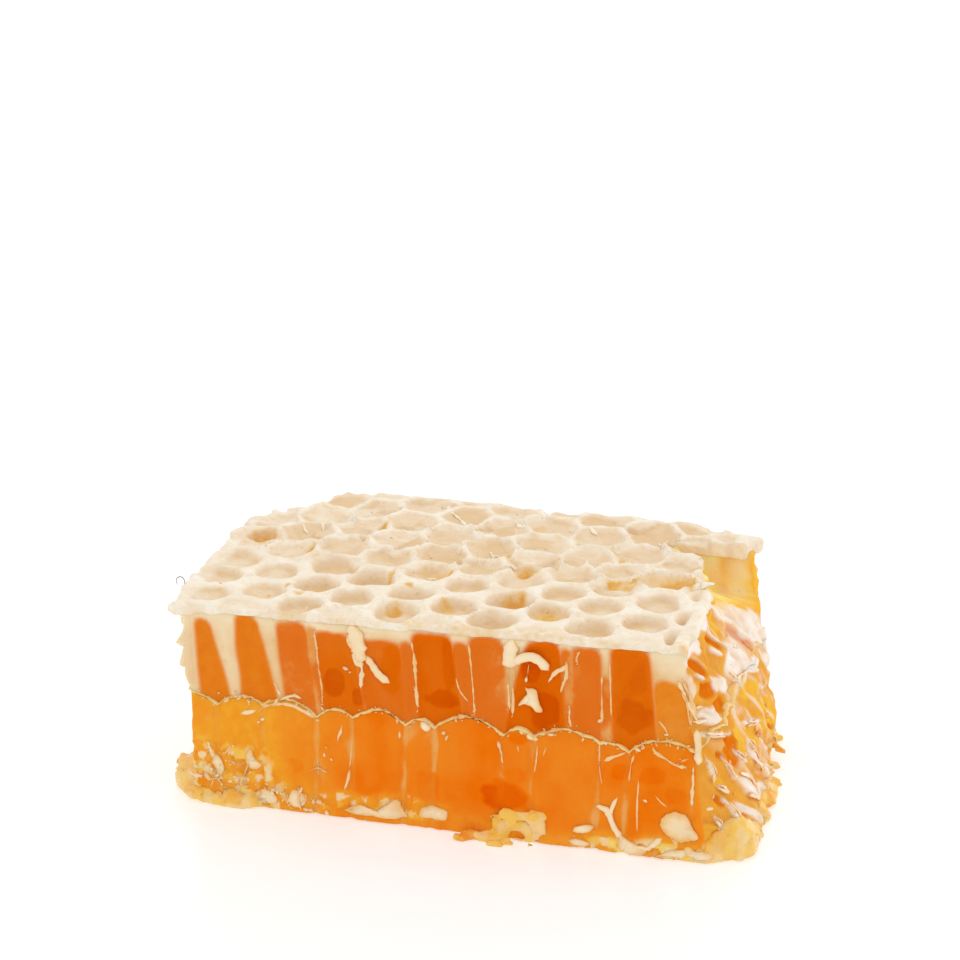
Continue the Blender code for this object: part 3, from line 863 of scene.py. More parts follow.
def upper_relief(x, y, z, nx, ny):
    """How far the upper cells' surface stands out of the plain cut, and what it carries."""
    front = smooth(0.6, 0.9, -ny)
    left = smooth(0.3, 0.8, -nx)
    torn = torn_at(nx)
    _, lattice_wall, _, behind = upper_comb(x, y, z, (-nx, -ny))
    behind = np.clip(behind, 0.0, 4.0)
    ragged = 0.1 * uneven(x, y, z, 1.3, 61) + 0.07 * uneven(x, y, z, 0.6, 62)
    # Clear windows in the wax: the listed ones in front, one to a cell on the other sides.
    clear, honey, cloud = windows_at(x + 0.12 * uneven(x, 0.0, z, 3.0, 63), z + ragged)
    wall_clear = np.minimum(lattice_wall - 0.35 - 0.9 * left, 19.4 - z) + 2.0 * ragged
    wall_clear = wall_clear - left * (1.2 + 3.2 * uneven(x, y, z, 5.0, 64))
    clear = mix(wall_clear, clear, front)
    wax = 1.0 - smooth(-0.3, 0.25, clear)
    hollow = smooth(0.0, 1.0, clear)
    out = -0.14 * hollow - 0.16 * hollow * smooth(1.0, 2.4, mix(behind, honey, front))
    out = out + 0.1 * uneven(x, y, z, 3.2, 65) + 0.03 * uneven(x, y, z, 0.9, 66)
    # Shingles of wax that hang down the left side.
    shingle = (z * 0.36 + 0.8 * uneven(x, y, z, 2.6, 67) + 0.12 * uneven(x, y, z, 0.8, 68)) % 1.0
    frill = smooth(11.4, 13.2, z) * smooth(0.2, 0.6, -nx)
    scales = 0.55 * (1.0 - shingle) * smooth(0.0, 0.15, shingle) * (1.0 + uneven(x, y, z, 1.8, 91))
    out = out + frill * (0.4 + scales)
    shreds, white_wax_and_highlight, yellow, deep = torn_relief(x, y, z)
    # The torn end, bitten back below its broken lids.
    eaves = smooth(18.6, 20.0, z)
    gap = torn * broken_back(y)
    bed = mix(17.6, 15.2, smooth(2.0, 12.0, y)) + 0.5 * uneven(x, y, z, 1.8, 92)
    inward = gap * smooth(bed, bed + 1.8, z)
    _, broken_wall, _, _ = upper_comb(x - nx * inward, y - ny * inward, z)
    broken = smooth(0.0, 0.6, gap) * smooth(bed, bed + 1.2, z)
    out = mix(out, mix(shreds, 0.1, eaves * (1.0 - broken)), torn)
    out = out - inward - 0.5 * broken * smooth(0.15, 1.0, broken_wall)
    out = out + 0.12 * front * smooth(18.9, 19.6, z) - 0.5 * np.clip((z - 19.5) / 0.7, 0.0, 1.0) ** 2
    # What the honey shows, and pale honey in the bite, pushed towards the pale tone as painted light against
    # the shade under the lids.
    depth = mix(behind * 0.8, honey + pools_at(UPPER_POOLS, x, z), front)
    depth = depth * mix(1.0, smooth(-0.3, 0.5, clear), 0.35)
    depth = mix(depth, 1.2 + 2.6 * deep, torn)
    depth = mix(depth, 0.3, broken)
    milk = mix(mix(0.2, cloud, front), yellow * (1.0 - deep), torn)
    milk = mix(milk, 1.9, broken * smooth(-0.9, 0.3, uneven(x - inward, 0.6 * y, 0.15 * z, 1.6, 94)))
    # White wax: smears that also paint the torn end's highlights, the broken walls in the bite, and the
    # ragged edge of the lids.
    lid_line = 19.3 + 0.9 * uneven(y, 0.0, 0.0, 1.6, 69) + 3.0 * smooth(0.0, 0.8, gap)
    lid_line = lid_line + 0.9 * smooth(-6.0, -4.0, y)
    white_wax_and_highlight = np.maximum(white_wax_and_highlight * (1.0 - broken), smooth(lid_line, lid_line + 0.5, z))
    streak = uneven(x - inward, 0.6 * y, 0.15 * z, 1.1, 90)
    streaks = np.maximum(smooth(0.4, 0.15, broken_wall + 0.1 * streak), smooth(0.15, 0.5, streak))
    white_wax_and_highlight = np.maximum(white_wax_and_highlight, broken * mix(0.1, 0.5, streaks))
    film = smooth(-1.5, -0.25, clear) * smooth(20.0, 17.5, z)
    ends = smooth(-16.0, -20.0, x) + smooth(18.5, 20.5, x)
    film = np.maximum(film, 0.6 * smooth(14.0, 12.0, z)) * front * mix(1.0, 0.45, ends)
    film = mix(film, 0.25 + 0.5 * broken + 0.3 * uneven(x, y, z, 1.5, 59), torn)
    return out, {"depth": depth, "milk": milk, "wax": mix(wax, white_wax_and_highlight, torn), "torn": torn, "film": film}


UPPER_ROWS = 60
UPPER_EDGE = 20.2
# The broken lids leave the honey's top open to here from the right.
OPEN_TO = 12.5
UPPER_HONEY = [
    tone(234, 176, 104), tone(230, 120, 36), tone(228, 108, 6),
    tone(214, 86, 0), tone(238, 150, 40),
]


def upper_mesh():
    """The upper cells' skin, from the midrib to under the lids, turned in at both ends."""
    x0, y0, _, _ = on_cut(np.full(len(RING_TOP), RIB_MEAN))
    stack = skin_rows(rib_height(x0, y0), UPPER_EDGE, UPPER_ROWS, upper_relief)
    stack = tuck(*stack, 0, [(2.0, RIB_MEAN + 1.6)])
    x, y, z, _, _, values = tuck(*stack, 1, [(1.0, 19.25), (0.9, 18.9), (0.0, 18.85)])
    x[-1] = np.minimum(x[-1], OPEN_TO)
    return ring_mesh("upper_honey", x, y, z, values)


upper_material = honey_material("upper_honey", UPPER_HONEY)
add_piece(upper_mesh(), upper_material, "upper_honey", "upper_cells")

# ---------------------------------------------------------------------------------------------
# Cappings. The cream wax lids that seal the upper cells, one dished disc to a cell, grown together
# along raised rims. A few are broken, and amber honey shows through the thin ones.
# ---------------------------------------------------------------------------------------------

NET_STEP = 0.235
LIDS_LOW = (-30.6, -18.6, 17.8)
LIDS_HIGH = (24.6, 19.6, 21.7)
# The highest that any lid rises.
LIDS_LIMIT = 21.1
# Cells whose lid is thin or broken: x, y, half width, half length, how amber, how deep.
THIN_LIDS = [
    (-26.2, 3.4, 1.3, 1.7, 1.0, 1.0),
    (-20.3, 1.6, 0.35, 1.3, 0.9, 0.3),
    (-14.9, 8.8, 0.4, 1.5, 0.9, 0.3),
    (-16.7, -7.2, 0.6, 0.5, 1.0, 0.1),
    (-17.0, -11.4, 0.7, 0.7, 0.7, 0.1),
    (-18.9, -9.4, 0.3, 0.6, 0.8, 0.1),
    (-20.3, -11.0, 0.25, 0.4, 0.9, 0.1),
    (-7.6, -5.9, 0.6, 0.6, 0.95, 0.1),
    (-7.2, -12.0, 0.9, 0.8, 0.8, 0.2),
    (-5.6, -14.6, 0.8, 1.1, 0.6, 0.4),
    (-2.6, -9.3, 0.8, 0.8, 0.7, 0.1),
    (3.1, -6.2, 1.2, 1.5, 0.95, 0.3),
    (2.3, 1.1, 1.4, 1.2, 1.0, 0.7),
    (11.3, 0.2, 0.8, 0.8, 0.95, 0.2),
    (12.4, 0.6, 2.0, 1.6, 0.65, 0.4),
    (17.4, 1.5, 2.3, 2.2, 1.0, 0.35),
    (7.6, -9.2, 1.8, 1.5, 0.75, 0.3),
    (-6.2, -1.2, 1.9, 1.4, 0.35, 0.3),
    (-4.9, -1.2, 0.4, 1.0, 1.0, 0.3),
    (0.2, 13.4, 1.1, 1.0, 0.4, 0.2),
    (-0.5, 4.8, 0.35, 0.9, 0.9, 0.2),
    (-5.4, 11.2, 0.4, 0.9, 0.5, 0.2),
    (5.6, 10.2, 0.9, 0.8, 0.5, 0.2),
    (9.6, 9.2, 0.3, 0.6, 0.7, 0.1),
    (10.5, 7.2, 0.4, 0.7, 0.6, 0.2),
    (9.0, -4.2, 0.5, 0.9, 0.5, 0.1),
    (4.9, 2.4, 0.35, 0.9, 0.7, 0.2),
    (-10.2, -3.3, 0.35, 0.9, 0.7, 0.3),
]


def net_over(field, origin, step):
    """Places and quads over the surface where a sampled field, negative inside, crosses zero."""
    inside = field < 0
    total = np.zeros([n - 1 for n in field.shape], np.int8)
    for corner in range(8):
        bits = [corner >> axis & 1 for axis in range(3)]
        total += inside[tuple(slice(bit, n - 1 + bit) for bit, n in zip(bits, field.shape))]
    crossed = (total > 0) & (total < 8)
    cells = np.argwhere(crossed)
    number = np.full(total.shape, -1, np.int32)
    number[crossed] = np.arange(len(cells))
    shift = np.zeros((len(cells), 3), np.float32)
    hits = np.zeros(len(cells), np.float32)
    quads = []
    for axis in range(3):
        one, two = (axis + 1) % 3, (axis + 2) % 3
        for corner in range(4):
            low = np.zeros(3, int)
            low[one], low[two] = corner & 1, corner >> 1
            high = low.copy()
            high[axis] = 1
            a, b = field[tuple((cells + low).T)], field[tuple((cells + high).T)]
            cross = (a < 0) != (b < 0)
            hits += cross
            shift += cross[:, None] * low
            shift[:, axis] += np.where(cross, a / np.where(cross, a - b, 1.0), 0.0)
        lower = [slice(1, -1)] * 3
        lower[axis] = slice(0, -1)
        upper = list(lower)
        upper[axis] = slice(1, None)
        start = np.array([0 if a == axis else 1 for a in range(3)])
        grid = np.argwhere(inside[tuple(lower)] != inside[tuple(upper)]) + start
        ring = []
        for back_one, back_two in ((1, 1), (0, 1), (0, 0), (1, 0)):
            cell = grid.copy()
            cell[:, one] -= back_one
            cell[:, two] -= back_two
            ring.append(number[tuple(cell.T)])
        ring = np.stack(ring, 1)
        inward = ~inside[tuple(grid.T)]
        ring[inward] = ring[inward][:, ::-1]
        quads.append(ring)
    return (cells + shift / hits[:, None]) * step + np.asarray(origin), np.concatenate(quads)


def grid_points(low, high, step):
    """The places of a grid between two corners, as three arrays."""
    axes = [np.arange(a, b + step, step, dtype=np.float32) for a, b in zip(low, high)]
    return np.meshgrid(*axes, indexing="ij")


def outside_cut(x, y, z):
    """How far a plan point is outside the plain cut at height z; negative inside."""
    up = z / BLOCK_TOP
    nearest = np.full(np.shape(x), FAR, np.float32)
    inside = np.zeros(np.shape(x), bool)
    for side in range(len(PLAN_TOP)):
        after = (side + 1) % len(PLAN_TOP)
        ax, ay = [mix(PLAN_FOOT[side][k], PLAN_TOP[side][k], up) for k in (0, 1)]
        bx, by = [mix(PLAN_FOOT[after][k], PLAN_TOP[after][k], up) for k in (0, 1)]
        ex, ey = bx - ax, by - ay
        share = np.clip(((x - ax) * ex + (y - ay) * ey) / (ex * ex + ey * ey), 0.0, 1.0)
        nearest = np.minimum(nearest, np.hypot(x - ax - share * ex, y - ay - share * ey))
        crosses = (ay > y) != (by > y)
        inside ^= crosses & (x < ax + ex * (y - ay) / np.where(np.abs(ey) < 1e-6, 1e-6, ey))
    return np.where(inside, -nearest, nearest)


def round_max(a, b, r):
    """The larger of two distances, with the edge where they meet rounded over about r."""
    share = np.clip(0.5 + 0.5 * (a - b) / r, 0.0, 1.0)
    return b + (a - b) * share + r * share * (1.0 - share)


def round_min(a, b, r):
    """The smaller of two distances, rounded in the same way."""
    return -round_max(-a, -b, r)


def lid_comb(x, y):
    """The cells under the lids: the upright comb, which does not lean up here."""
    return comb_at(x + 0.25, y, UPPER_FIRST, 1)


def lids_at(x, y):
    """The cappings at plan points: top height, how thin the lid is, how amber, and the distance outside."""
    wander = 0.3 * uneven(x, y, 0.0, 2.6, 71)
    near, wall, index, _ = lid_comb(x + wander, y - wander)
    side = outside_cut(x, y, BLOCK_TOP)
    pick = BUMPS[index[0] & 31, index[1] & 31, 9]
    lean = BUMPS[index[0] & 31, index[1] & 31, 17] * uneven(x, 0.0, 0.0, 6.0, 79)
    back = smooth(-4.0, 3.0, y)
    share = (x - PLAN_TOP[0][0]) / (PLAN_TOP[1][0] - PLAN_TOP[0][0])
    front_line = mix(PLAN_TOP[0][1], PLAN_TOP[1][1], share)
    middle = UPPER_FIRST[1] + (index[0] + index[1] / 2) * CELL_PITCH * math.sin(ROW_TURN)
    middle = middle + index[1] * CELL_SIDE * 1.5 * math.cos(ROW_TURN)
    # Round soft dishes in front, flatter plates between seams at the back.
    rim = near + 0.16 * uneven(x, y, 0.0, 1.4, 80)
    dish = 1.0 - smooth(1.7, 2.45 + 0.12 * pick, rim)
    plate = smooth(0.1, 0.6, wall + 0.15 * uneven(x, y, 0.0, 0.9, 87))
    plate = plate * (1.0 - 0.3 * smooth(0.8, 2.4, near))
    bowl = mix(dish, plate, back) * (0.35 + 0.65 * smooth(0.1, 0.9, -side)) * smooth(20.9, 20.0, x)
    bowl = bowl * mix(0.15, 1.0, smooth(-0.4, 0.8, middle - front_line))
    deep = mix(1.1, 0.5, back) * mix(1.0, 0.45, smooth(-18.0, -22.5, x)) * (1.0 + 0.35 * pick)
    slab, slab_tint, _ = shards(x, y, 0.0, 4.6, 31)
    # Thin and broken lids, and the thin wax along the front edge.
    amber = np.zeros(np.shape(x), np.float32)
    dug = np.zeros(np.shape(x), np.float32)
    for px, py, wide, long, tint, depth in THIN_LIDS:
        reach = np.hypot((x - px) / wide, (y - py) / long) + 0.25 * uneven(x, y, 0.0, 0.7, 72)
        amber = np.maximum(amber, tint * (1.0 - smooth(0.45, 1.2, reach)))
        dug = np.maximum(dug, depth * (1.0 - smooth(0.6, 1.1, reach)))
    rim_amber = (0.22 + 0.3 * uneven(x, y, 0.0, 2.4, 94)) * smooth(1.8, 0.4, y - front_line)
    amber = np.maximum(amber, rim_amber * smooth(-24.0, -19.0, x))
    # The raised rims, tilted and uneven at the back.
    crest = 0.2 * uneven(x, y, 0.0, 5.0, 73) + 0.14 * uneven(x, y, 0.0, 1.6, 74) - 0.12
    crest = crest - 0.1 * np.exp(-np.maximum(y - front_line, 0.0) / 1.6)
    crest = crest + 0.12 * np.exp(-(wall / 0.28) ** 2) * (1.0 + uneven(x, y, 0.0, 0.9, 75))
    seams = 0.35 * uneven(x, y, 0.0, 1.3, 70) * smooth(0.9, 0.2, wall)
    crest = crest + back * (0.3 * pick + 0.3 * lean + 0.45 * slab + seams)
    crest = crest + 0.3 * smooth(10.0, 15.0, y) + 0.2 * smooth(3.0, 9.0, y) * smooth(-21.0, -24.0, x)
    top = BLOCK_TOP + crest - deep * bowl - dug
    step = smooth(0.25, 0.9, wall) * smooth(2.0, 1.2, wall)
    thin = mix(bowl * (0.6 + 0.3 * step), bowl * (0.75 + 0.35 * slab_tint) + 0.15 * step, back)
    return top, thin, amber, side


def cappings_mesh():
    """The slab of lids: its dished top, its ragged edge, and the bites broken out of it."""
    x, y, z = grid_points(LIDS_LOW, LIDS_HIGH, NET_STEP)
    plan_x, plan_y = x[:, :, 0], y[:, :, 0]
    top, _, _, side = lids_at(plan_x, plan_y)
    _, wall, _, _ = lid_comb(plan_x, plan_y)
    front = smooth(-13.5, -15.5, plan_y) * smooth(-26.5, -25.0, plan_x)
    left = smooth(-24.0, -27.0, plan_x)
    right = smooth(19.5, 21.5, plan_x)
    # The underside: thin at the edge, and hanging lower at the torn end.
    ragged = 0.3 * uneven(plan_x, plan_y, 0.0, 1.0, 76) + 0.35 * uneven(plan_x, plan_y, 0.0, 2.8, 77)
    ragged = ragged + 0.5 * smooth(16.0, 18.0, plan_y)
    bottom = mix(19.8, 18.4, smooth(0.3, 1.3, -side)) - 0.2 * (1.0 - smooth(0.0, 1.1, wall))
    bottom = bottom - right * (0.5 + 1.4 * ragged) * smooth(6.0, 2.0, plan_y)
    gap = smooth(11.0, 14.0, plan_x) * broken_back(plan_y + 0.25 + 0.07 * np.minimum(side, 0.0))
    bottom = mix(bottom, 19.2, smooth(0.1, 0.6, gap) * smooth(-2.4, -1.2, side + gap))
    corner = smooth(12.0, 14.5, plan_x) * smooth(11.0, 12.2, plan_y)
    bottom = mix(bottom, 19.4 + 0.3 * ragged, corner)
    ragged = ragged + 0.35 * left * uneven(plan_x, plan_y, 0.0, 0.55, 93)
    # How far the wax flaps out past the cut on each side.
    flap = mix(0.25 + ragged + 0.9 * left, 0.12 + 0.12 * ragged, front)
    flap = mix(flap, 0.05 + 0.9 * ragged, right * (1.0 - front)) - gap
    flap = mix(flap, 0.9, corner * smooth(14.5, 16.5, plan_y) * (1.0 - front))
    bottom = np.minimum(bottom, top - 0.6)
    # The solid between the top and the underside, with rounded edges.
    field = round_max(z - np.minimum(top, LIDS_LIMIT)[:, :, None], bottom[:, :, None] - z, 0.4)
    field = round_max(field, side[:, :, None] - flap[:, :, None], mix(0.7, 0.4, front)[:, :, None])
    field = field + 0.07 * uneven(x, y, z, 0.8, 78)
    places, quads = net_over(field, LIDS_LOW, NET_STEP)
    _, thin, amber, _ = lids_at(places[:, 0], places[:, 1])
    return make_mesh("cappings", places, quads, {"thin": thin, "amber": amber})


def capping_material():
    material, tree, shader = start_material(
        "cream_wax", roughness=0.4, specular=0.35, glow_mm=0.6, glow=0.1
    )
    thin = add_math(tree, "MULTIPLY", add_value(tree, "thin"), 0.8)
    wax = place_group(tree, WAX_GRAIN, Pale=tone(252, 242, 224), Warm=tone(230, 196, 150), Warmth=thin)
    speckle = add_range(tree, add_noise(tree, 0.6, 2.0), 0.3, 0.7, -0.15, 0.25)
    amber = add_math(tree, "ADD", add_value(tree, "amber"), speckle)
    colour = add_mix(tree, add_range(tree, amber, 0.05, 0.8), wax["Color"], tone(236, 192, 110))
    colour = add_mix(tree, add_range(tree, amber, 0.65, 1.25), colour, tone(228, 156, 50))
    lay_finish(tree, shader, colour, wax["Height"], 0.1)
    return material


cream_wax = capping_material()
add_piece(cappings_mesh(), cream_wax, "cream_wax", "cappings_wax")

# ---------------------------------------------------------------------------------------------
# Foot. Where the block was pressed on to the board: crushed wax and honey, squeezed out in lumps
# beyond the left end and heaped at the right, flat underneath.
# ---------------------------------------------------------------------------------------------

FOOT_STEP = 0.26
FOOT_LOW = (-31.0, -19.9, -0.52)
FOOT_HIGH = (31.0, 19.9, 5.9)
# No lump reaches past these, across, back and up.
FOOT_LIMITS = (30.6, 19.2, 5.4)
SMALL_LUMPS = 170
# The big lumps: middle x, y, z, and half sizes.
FOOT_LUMPS = [
    (-27.2, -13.0, 0.9, 2.7, 2.8, 2.4),
    (-24.6, -15.4, 0.6, 2.8, 1.2, 1.5),
    (-28.0, -8.8, 0.6, 1.8, 3.2, 1.8),
    (26.4, -13.7, 0.5, 2.7, 2.7, 3.1),
    (24.6, -15.9, 0.3, 2.2, 1.4, 1.5),
    (27.2, -11.0, 0.5, 1.5, 2.6, 1.8),
    (22.6, -16.5, 0.4, 2.6, 0.9, 1.1),
    (4.9, -17.9, 0.1, 3.0, 1.3, 0.7),
    (6.1, -16.9, 1.6, 2.6, 0.8, 1.9),
    (8.0, -17.0, 1.0, 1.2, 0.6, 1.4),
    (27.0, -3.0, 0.4, 1.2, 4.2, 1.2),
    (-10.0, 17.4, 0.8, 5.0, 1.6, 1.6),
    (12.0, 17.6, 0.8, 4.0, 1.5, 1.6),
    (24.9, 8.0, 0.4, 1.2, 5.0, 1.2),
    (-26.6, 4.0, 0.7, 1.6, 4.6, 1.7),
]


def foot_mesh():
    """A thin slab with all the lumps grown into it, broken into facets and cut flat below."""
    x, y, z = grid_points(FOOT_LOW, FOOT_HIGH, FOOT_STEP)
    side = outside_cut(x[:, :, 0], y[:, :, 0], 1.0)[:, :, None]
    front = smooth(-14.0, -16.0, y[:, :, :1])
    field = round_max(side - mix(0.25, -0.6, front), z - 1.3, 0.6)
    # Small lumps all round the foot, smaller at the right, and none along the middle of the front.
    draws = np.random.default_rng(23)
    ring = mix(RING_FOOT, RING_TOP, 0.04)
    lumps = list(FOOT_LUMPS)
    for place in draws.integers(0, len(ring), SMALL_LUMPS):
        px, py = ring[place] + draws.normal(0.0, 0.25, 2)
        size = draws.uniform(0.5, 1.2) * (0.55 if px > 20.0 else 1.0)
        long = size * draws.uniform(0.8, 1.8)
        if py > -14.0 or px < -21.0:
            lumps.append((px, py, draws.uniform(0.1, 1.0), long, size * 0.8, size * 0.75))
    for px, py, pz, a, b, c in lumps:
        reach = max(a, b, c) + 1.0
        lo = [max(0, int((p - reach - o) / FOOT_STEP)) for p, o in zip((px, py, pz), FOOT_LOW)]
        hi = [int((p + reach - o) / FOOT_STEP) + 2 for p, o in zip((px, py, pz), FOOT_LOW)]
        box = tuple(slice(first, last) for first, last in zip(lo, hi))
        gx, gy, gz = x[box], y[box], z[box]
        away = np.sqrt(((gx - px) / a) ** 2 + ((gy - py) / b) ** 2 + ((gz - pz) / c) ** 2)
        field[box] = round_min(field[box], (away - 1.0) * min(a, b, c), 0.35)
    # Broken facets near the surface, a flat underside, and nothing past the limits.
    near = field < 1.2
    rough = np.zeros_like(field)
    gx, gy, gz = x[near], y[near], z[near]
    high, _, _ = shards(gx, gy, gz, 2.6, 21)
    fine, _, _ = shards(gx, gy, gz, 1.2, 27)
    calm = mix(1.0, 0.7, smooth(20.0, 24.0, gx) * smooth(-8.0, -11.0, gy))
    rough[near] = calm * (0.5 * high + 0.2 * fine + 0.1 * uneven(gx, gy, gz, 1.1, 82))
    field = np.maximum(field - rough, -z)
    for place, limit in zip((np.abs(x), np.abs(y), z), FOOT_LIMITS):
        field = np.maximum(field, place - limit)
    places, quads = net_over(field.astype(np.float32), FOOT_LOW, FOOT_STEP)
    px, py, pz = places.T
    _, tint, _ = shards(px, py, pz, 2.6, 21)
    _, fine_tint, edge = shards(px, py, pz, 1.2, 27)
    # Its finish: milky honey and flakes of wax at the ends, peach at the right front corner.
    ends = np.maximum(smooth(-18.0, -25.0, px), smooth(19.0, 24.0, px))
    ends = np.maximum(ends, smooth(5.0, 3.0, np.abs(px - 6.0)) * smooth(-15.5, -16.5, py))
    milk = np.clip(mix(0.35, 0.85, ends) + 0.5 * tint + 0.3 * uneven(px, py, pz, 1.7, 83), 0.0, 1.0)
    depth = 0.5 + 1.5 * smooth(0.3, 0.6, uneven(px, py, pz, 2.2, 84) - 0.3 * fine_tint)
    peach = smooth(24.0, 25.5, px + 1.5 * tint) * smooth(-9.0, -12.0, py)
    peach = peach * (0.6 + 0.8 * uneven(px, py, 0.3 * pz, 1.2, 95))
    peach = np.maximum(peach, 0.7 * smooth(-25.0, -27.0, px))
    flake = smooth(0.2, 0.6, fine_tint + 0.4 * tint) + 0.3 * smooth(0.12, 0.0, edge) + 0.6 * peach
    flake = np.clip(flake, 0.0, 1.0)
    return make_mesh("foot", places, quads, {"milk": milk, "depth": depth, "flake": flake})


def foot_material():
    material, tree, shader = start_material(
        "crushed_wax_and_honey", roughness=0.25, specular=0.05, glow_mm=0.6, glow=0.12, coat=0.2
    )
    tones = [tone(247, 202, 126), tone(246, 184, 76), tone(243, 148, 30)]
    tones = [*tones, tone(236, 112, 4), tone(252, 207, 96)]
    depth, milk = add_value(tree, "depth"), add_value(tree, "milk")
    honey = place_group(tree, HONEY_DEPTH, Depth=depth, Milk=milk, **dict(zip(HONEY_TONES, tones)))
    wax = place_group(tree, WAX_GRAIN, Pale=tone(250, 226, 180), Warm=tone(244, 204, 138), Warmth=0.2)
    cover = add_math(tree, "MULTIPLY", add_value(tree, "flake"), 0.6)
    colour = add_mix(tree, cover, honey["Color"], wax["Color"])
    lay_finish(tree, shader, colour, add_noise(tree, 0.6, 3.0), 0.15)
    return material


crushed = foot_material()
add_piece(foot_mesh(), crushed, "crushed_wax_and_honey", "foot_crushed")

# ---------------------------------------------------------------------------------------------
# Loose wax on the front cut. Strips that the knife dragged down from the cappings, curled shavings,
# torn flakes and the ragged edges of the cell walls, all cream wax stuck to the wet honey.
# ---------------------------------------------------------------------------------------------

def front_y(x, z):
    """Where the finished front surface is, at places across and up it."""
    up = z / BLOCK_TOP
    left = mix(PLAN_FOOT[0], PLAN_TOP[0], up[..., None])
    right = mix(PLAN_FOOT[1], PLAN_TOP[1], up[..., None])
    share = (x - left[..., 0]) / (right[..., 0] - left[..., 0])
    y = mix(left[..., 1], right[..., 1], share)
    nx, ny = np.zeros_like(x), -np.ones_like(x)
    lower, _ = lower_relief(x, y, z, nx, ny)
    upper, _ = upper_relief(x, y, z, nx, ny)
    return y - np.where(z > front_rib(x), upper, lower)


def on_front(a, b, out):
    """A place on the front: a across, b up, standing out by out."""
    return np.stack([a, front_y(a, b) - out, b], -1)


def gather(parts):
    """Joins closed bits, each places, triangles and how thin it is at each place, into one."""
    places, faces, thin, count = [], [], [], 0
    for part_places, part_faces, part_thin in parts:
        places.append(part_places)
        faces.append(part_faces + count)
        thin.append(part_thin)
        count += len(part_places)
    return np.concatenate(places), np.concatenate(faces), np.concatenate(thin)


# Spacing of the points along a strand and round a flake, and the sides of a strand and of a crumb.
STRAND_STEP = 0.14
FLAKE_STEP = 0.13
STRAND_SIDES = 10
CRUMB_SIDES = 7
CRUMB_TILTS = [-60.0, -15.0, 25.0, 60.0]
# The rings of a flake from below to above: its share of the outline, and its level in the thickness.
FLAKE_RINGS = [(0.4, -0.5), (0.85, -0.3), (1.0, -0.05), (0.95, 0.4), (0.84, 0.65), (0.6, 0.85), (0.3, 1.0)]


def curve_through(points, step):
    """A smooth run of points through the given ones, about step apart."""
    points = np.asarray(points, float)
    padded = np.concatenate([2 * points[:1] - points[1:2], points, 2 * points[-1:] - points[-2:-1]])
    run = []
    for p0, p1, p2, p3 in zip(padded, padded[1:], padded[2:], padded[3:]):
        count = max(1, int(np.linalg.norm(p2 - p1) / step))
        t = (np.arange(count) / count)[:, None]
        bend, twist = 2 * p0 - 5 * p1 + 4 * p2 - p3, 3 * p1 - p0 - 3 * p2 + p3
        run.append(0.5 * (2 * p1 + (p2 - p0) * t + bend * t ** 2 + twist * t ** 3))
    return np.concatenate(run + [points[-1:]])


def strand(place_on, points, width, thick, ragged, seed, lift=0.0, tint=0.0):
    """A ragged strip of wax along points (across, up) on a surface; lift raises its middle clear of it."""
    path = curve_through(points, STRAND_STEP)
    count = len(path)
    run = np.gradient(path, axis=0)
    run /= np.maximum(np.linalg.norm(run, axis=1, keepdims=True), 1e-6)
    across = np.stack([-run[:, 1], run[:, 0]], 1)
    share = np.linspace(0.0, 1.0, count)
    key = np.arange(count) * STRAND_STEP
    ends = np.minimum(1.0, np.minimum(share, 1.0 - share) * count * STRAND_STEP / 0.5 + 0.15)
    swell = uneven(key, seed, 0.0, 0.35, seed) + uneven(key, seed, 0.0, 1.1, seed + 3)
    wide = width / 2 * ends * np.clip(1.0 + ragged * swell, 0.2, 2.5)
    tall = 0.4 * thick * ends * np.clip(1.0 + ragged * uneven(key, seed, 9.0, 0.4, seed + 5), 0.3, 2.0)
    path = path + across * (0.25 * ragged * width * uneven(key, seed, 4.0, 0.5, seed + 7))[:, None]
    angles = np.linspace(0.0, 2 * math.pi, STRAND_SIDES, endpoint=False)
    offset = wide[:, None] * np.cos(angles)
    a = path[:, :1] + across[:, :1] * offset
    b = path[:, 1:] + across[:, 1:] * offset
    rise = lift * np.sin(math.pi * share)[:, None]
    out = tall[:, None] * (0.35 + np.sin(angles)) + rise
    thin = 1.0 - np.clip(np.sin(angles), 0.0, 1.0) * np.minimum(1.0, ends + 0.2)[:, None]
    places, faces = rings_closed(place_on(a, b, out))
    return places, faces, np.append(thin * (1.0 - tint) + tint, (1.0, 1.0))


def flake(place_on, outline, thick, seed, lift=0.0, cup=0.0):
    """A torn flake of wax, thin at its rim; cup raises its rim, and lift raises the whole."""
    edge = curve_through([*outline, outline[0]], FLAKE_STEP)[:-1]
    middle = edge.mean(0)
    ragged = 1.0 + 0.05 * uneven(*edge.T, 0.0, 0.55, seed)
    ragged = ragged + 0.04 * uneven(*edge.T, 0.0, 0.25, seed + 1)
    rings, thin = [], []
    for share, level in FLAKE_RINGS:
        ring = middle + (edge - middle) * (share * mix(1.0, ragged, share))[:, None]
        crease = 0.5 * uneven(*ring.T, 0.0, 0.7, seed + 2) + 0.25 * uneven(*ring.T, 0.0, 0.3, seed + 4)
        rings.append(place_on(*ring.T, thick * level * (1.0 + crease) + cup * share ** 2 + lift))
        thin.append(np.clip(share ** 2 - 0.5 * crease, 0.0, 1.0))
    places, faces = rings_closed(np.stack(rings))
    return places, faces, np.append(np.concatenate(thin), (1.0, thin[-1].mean()))


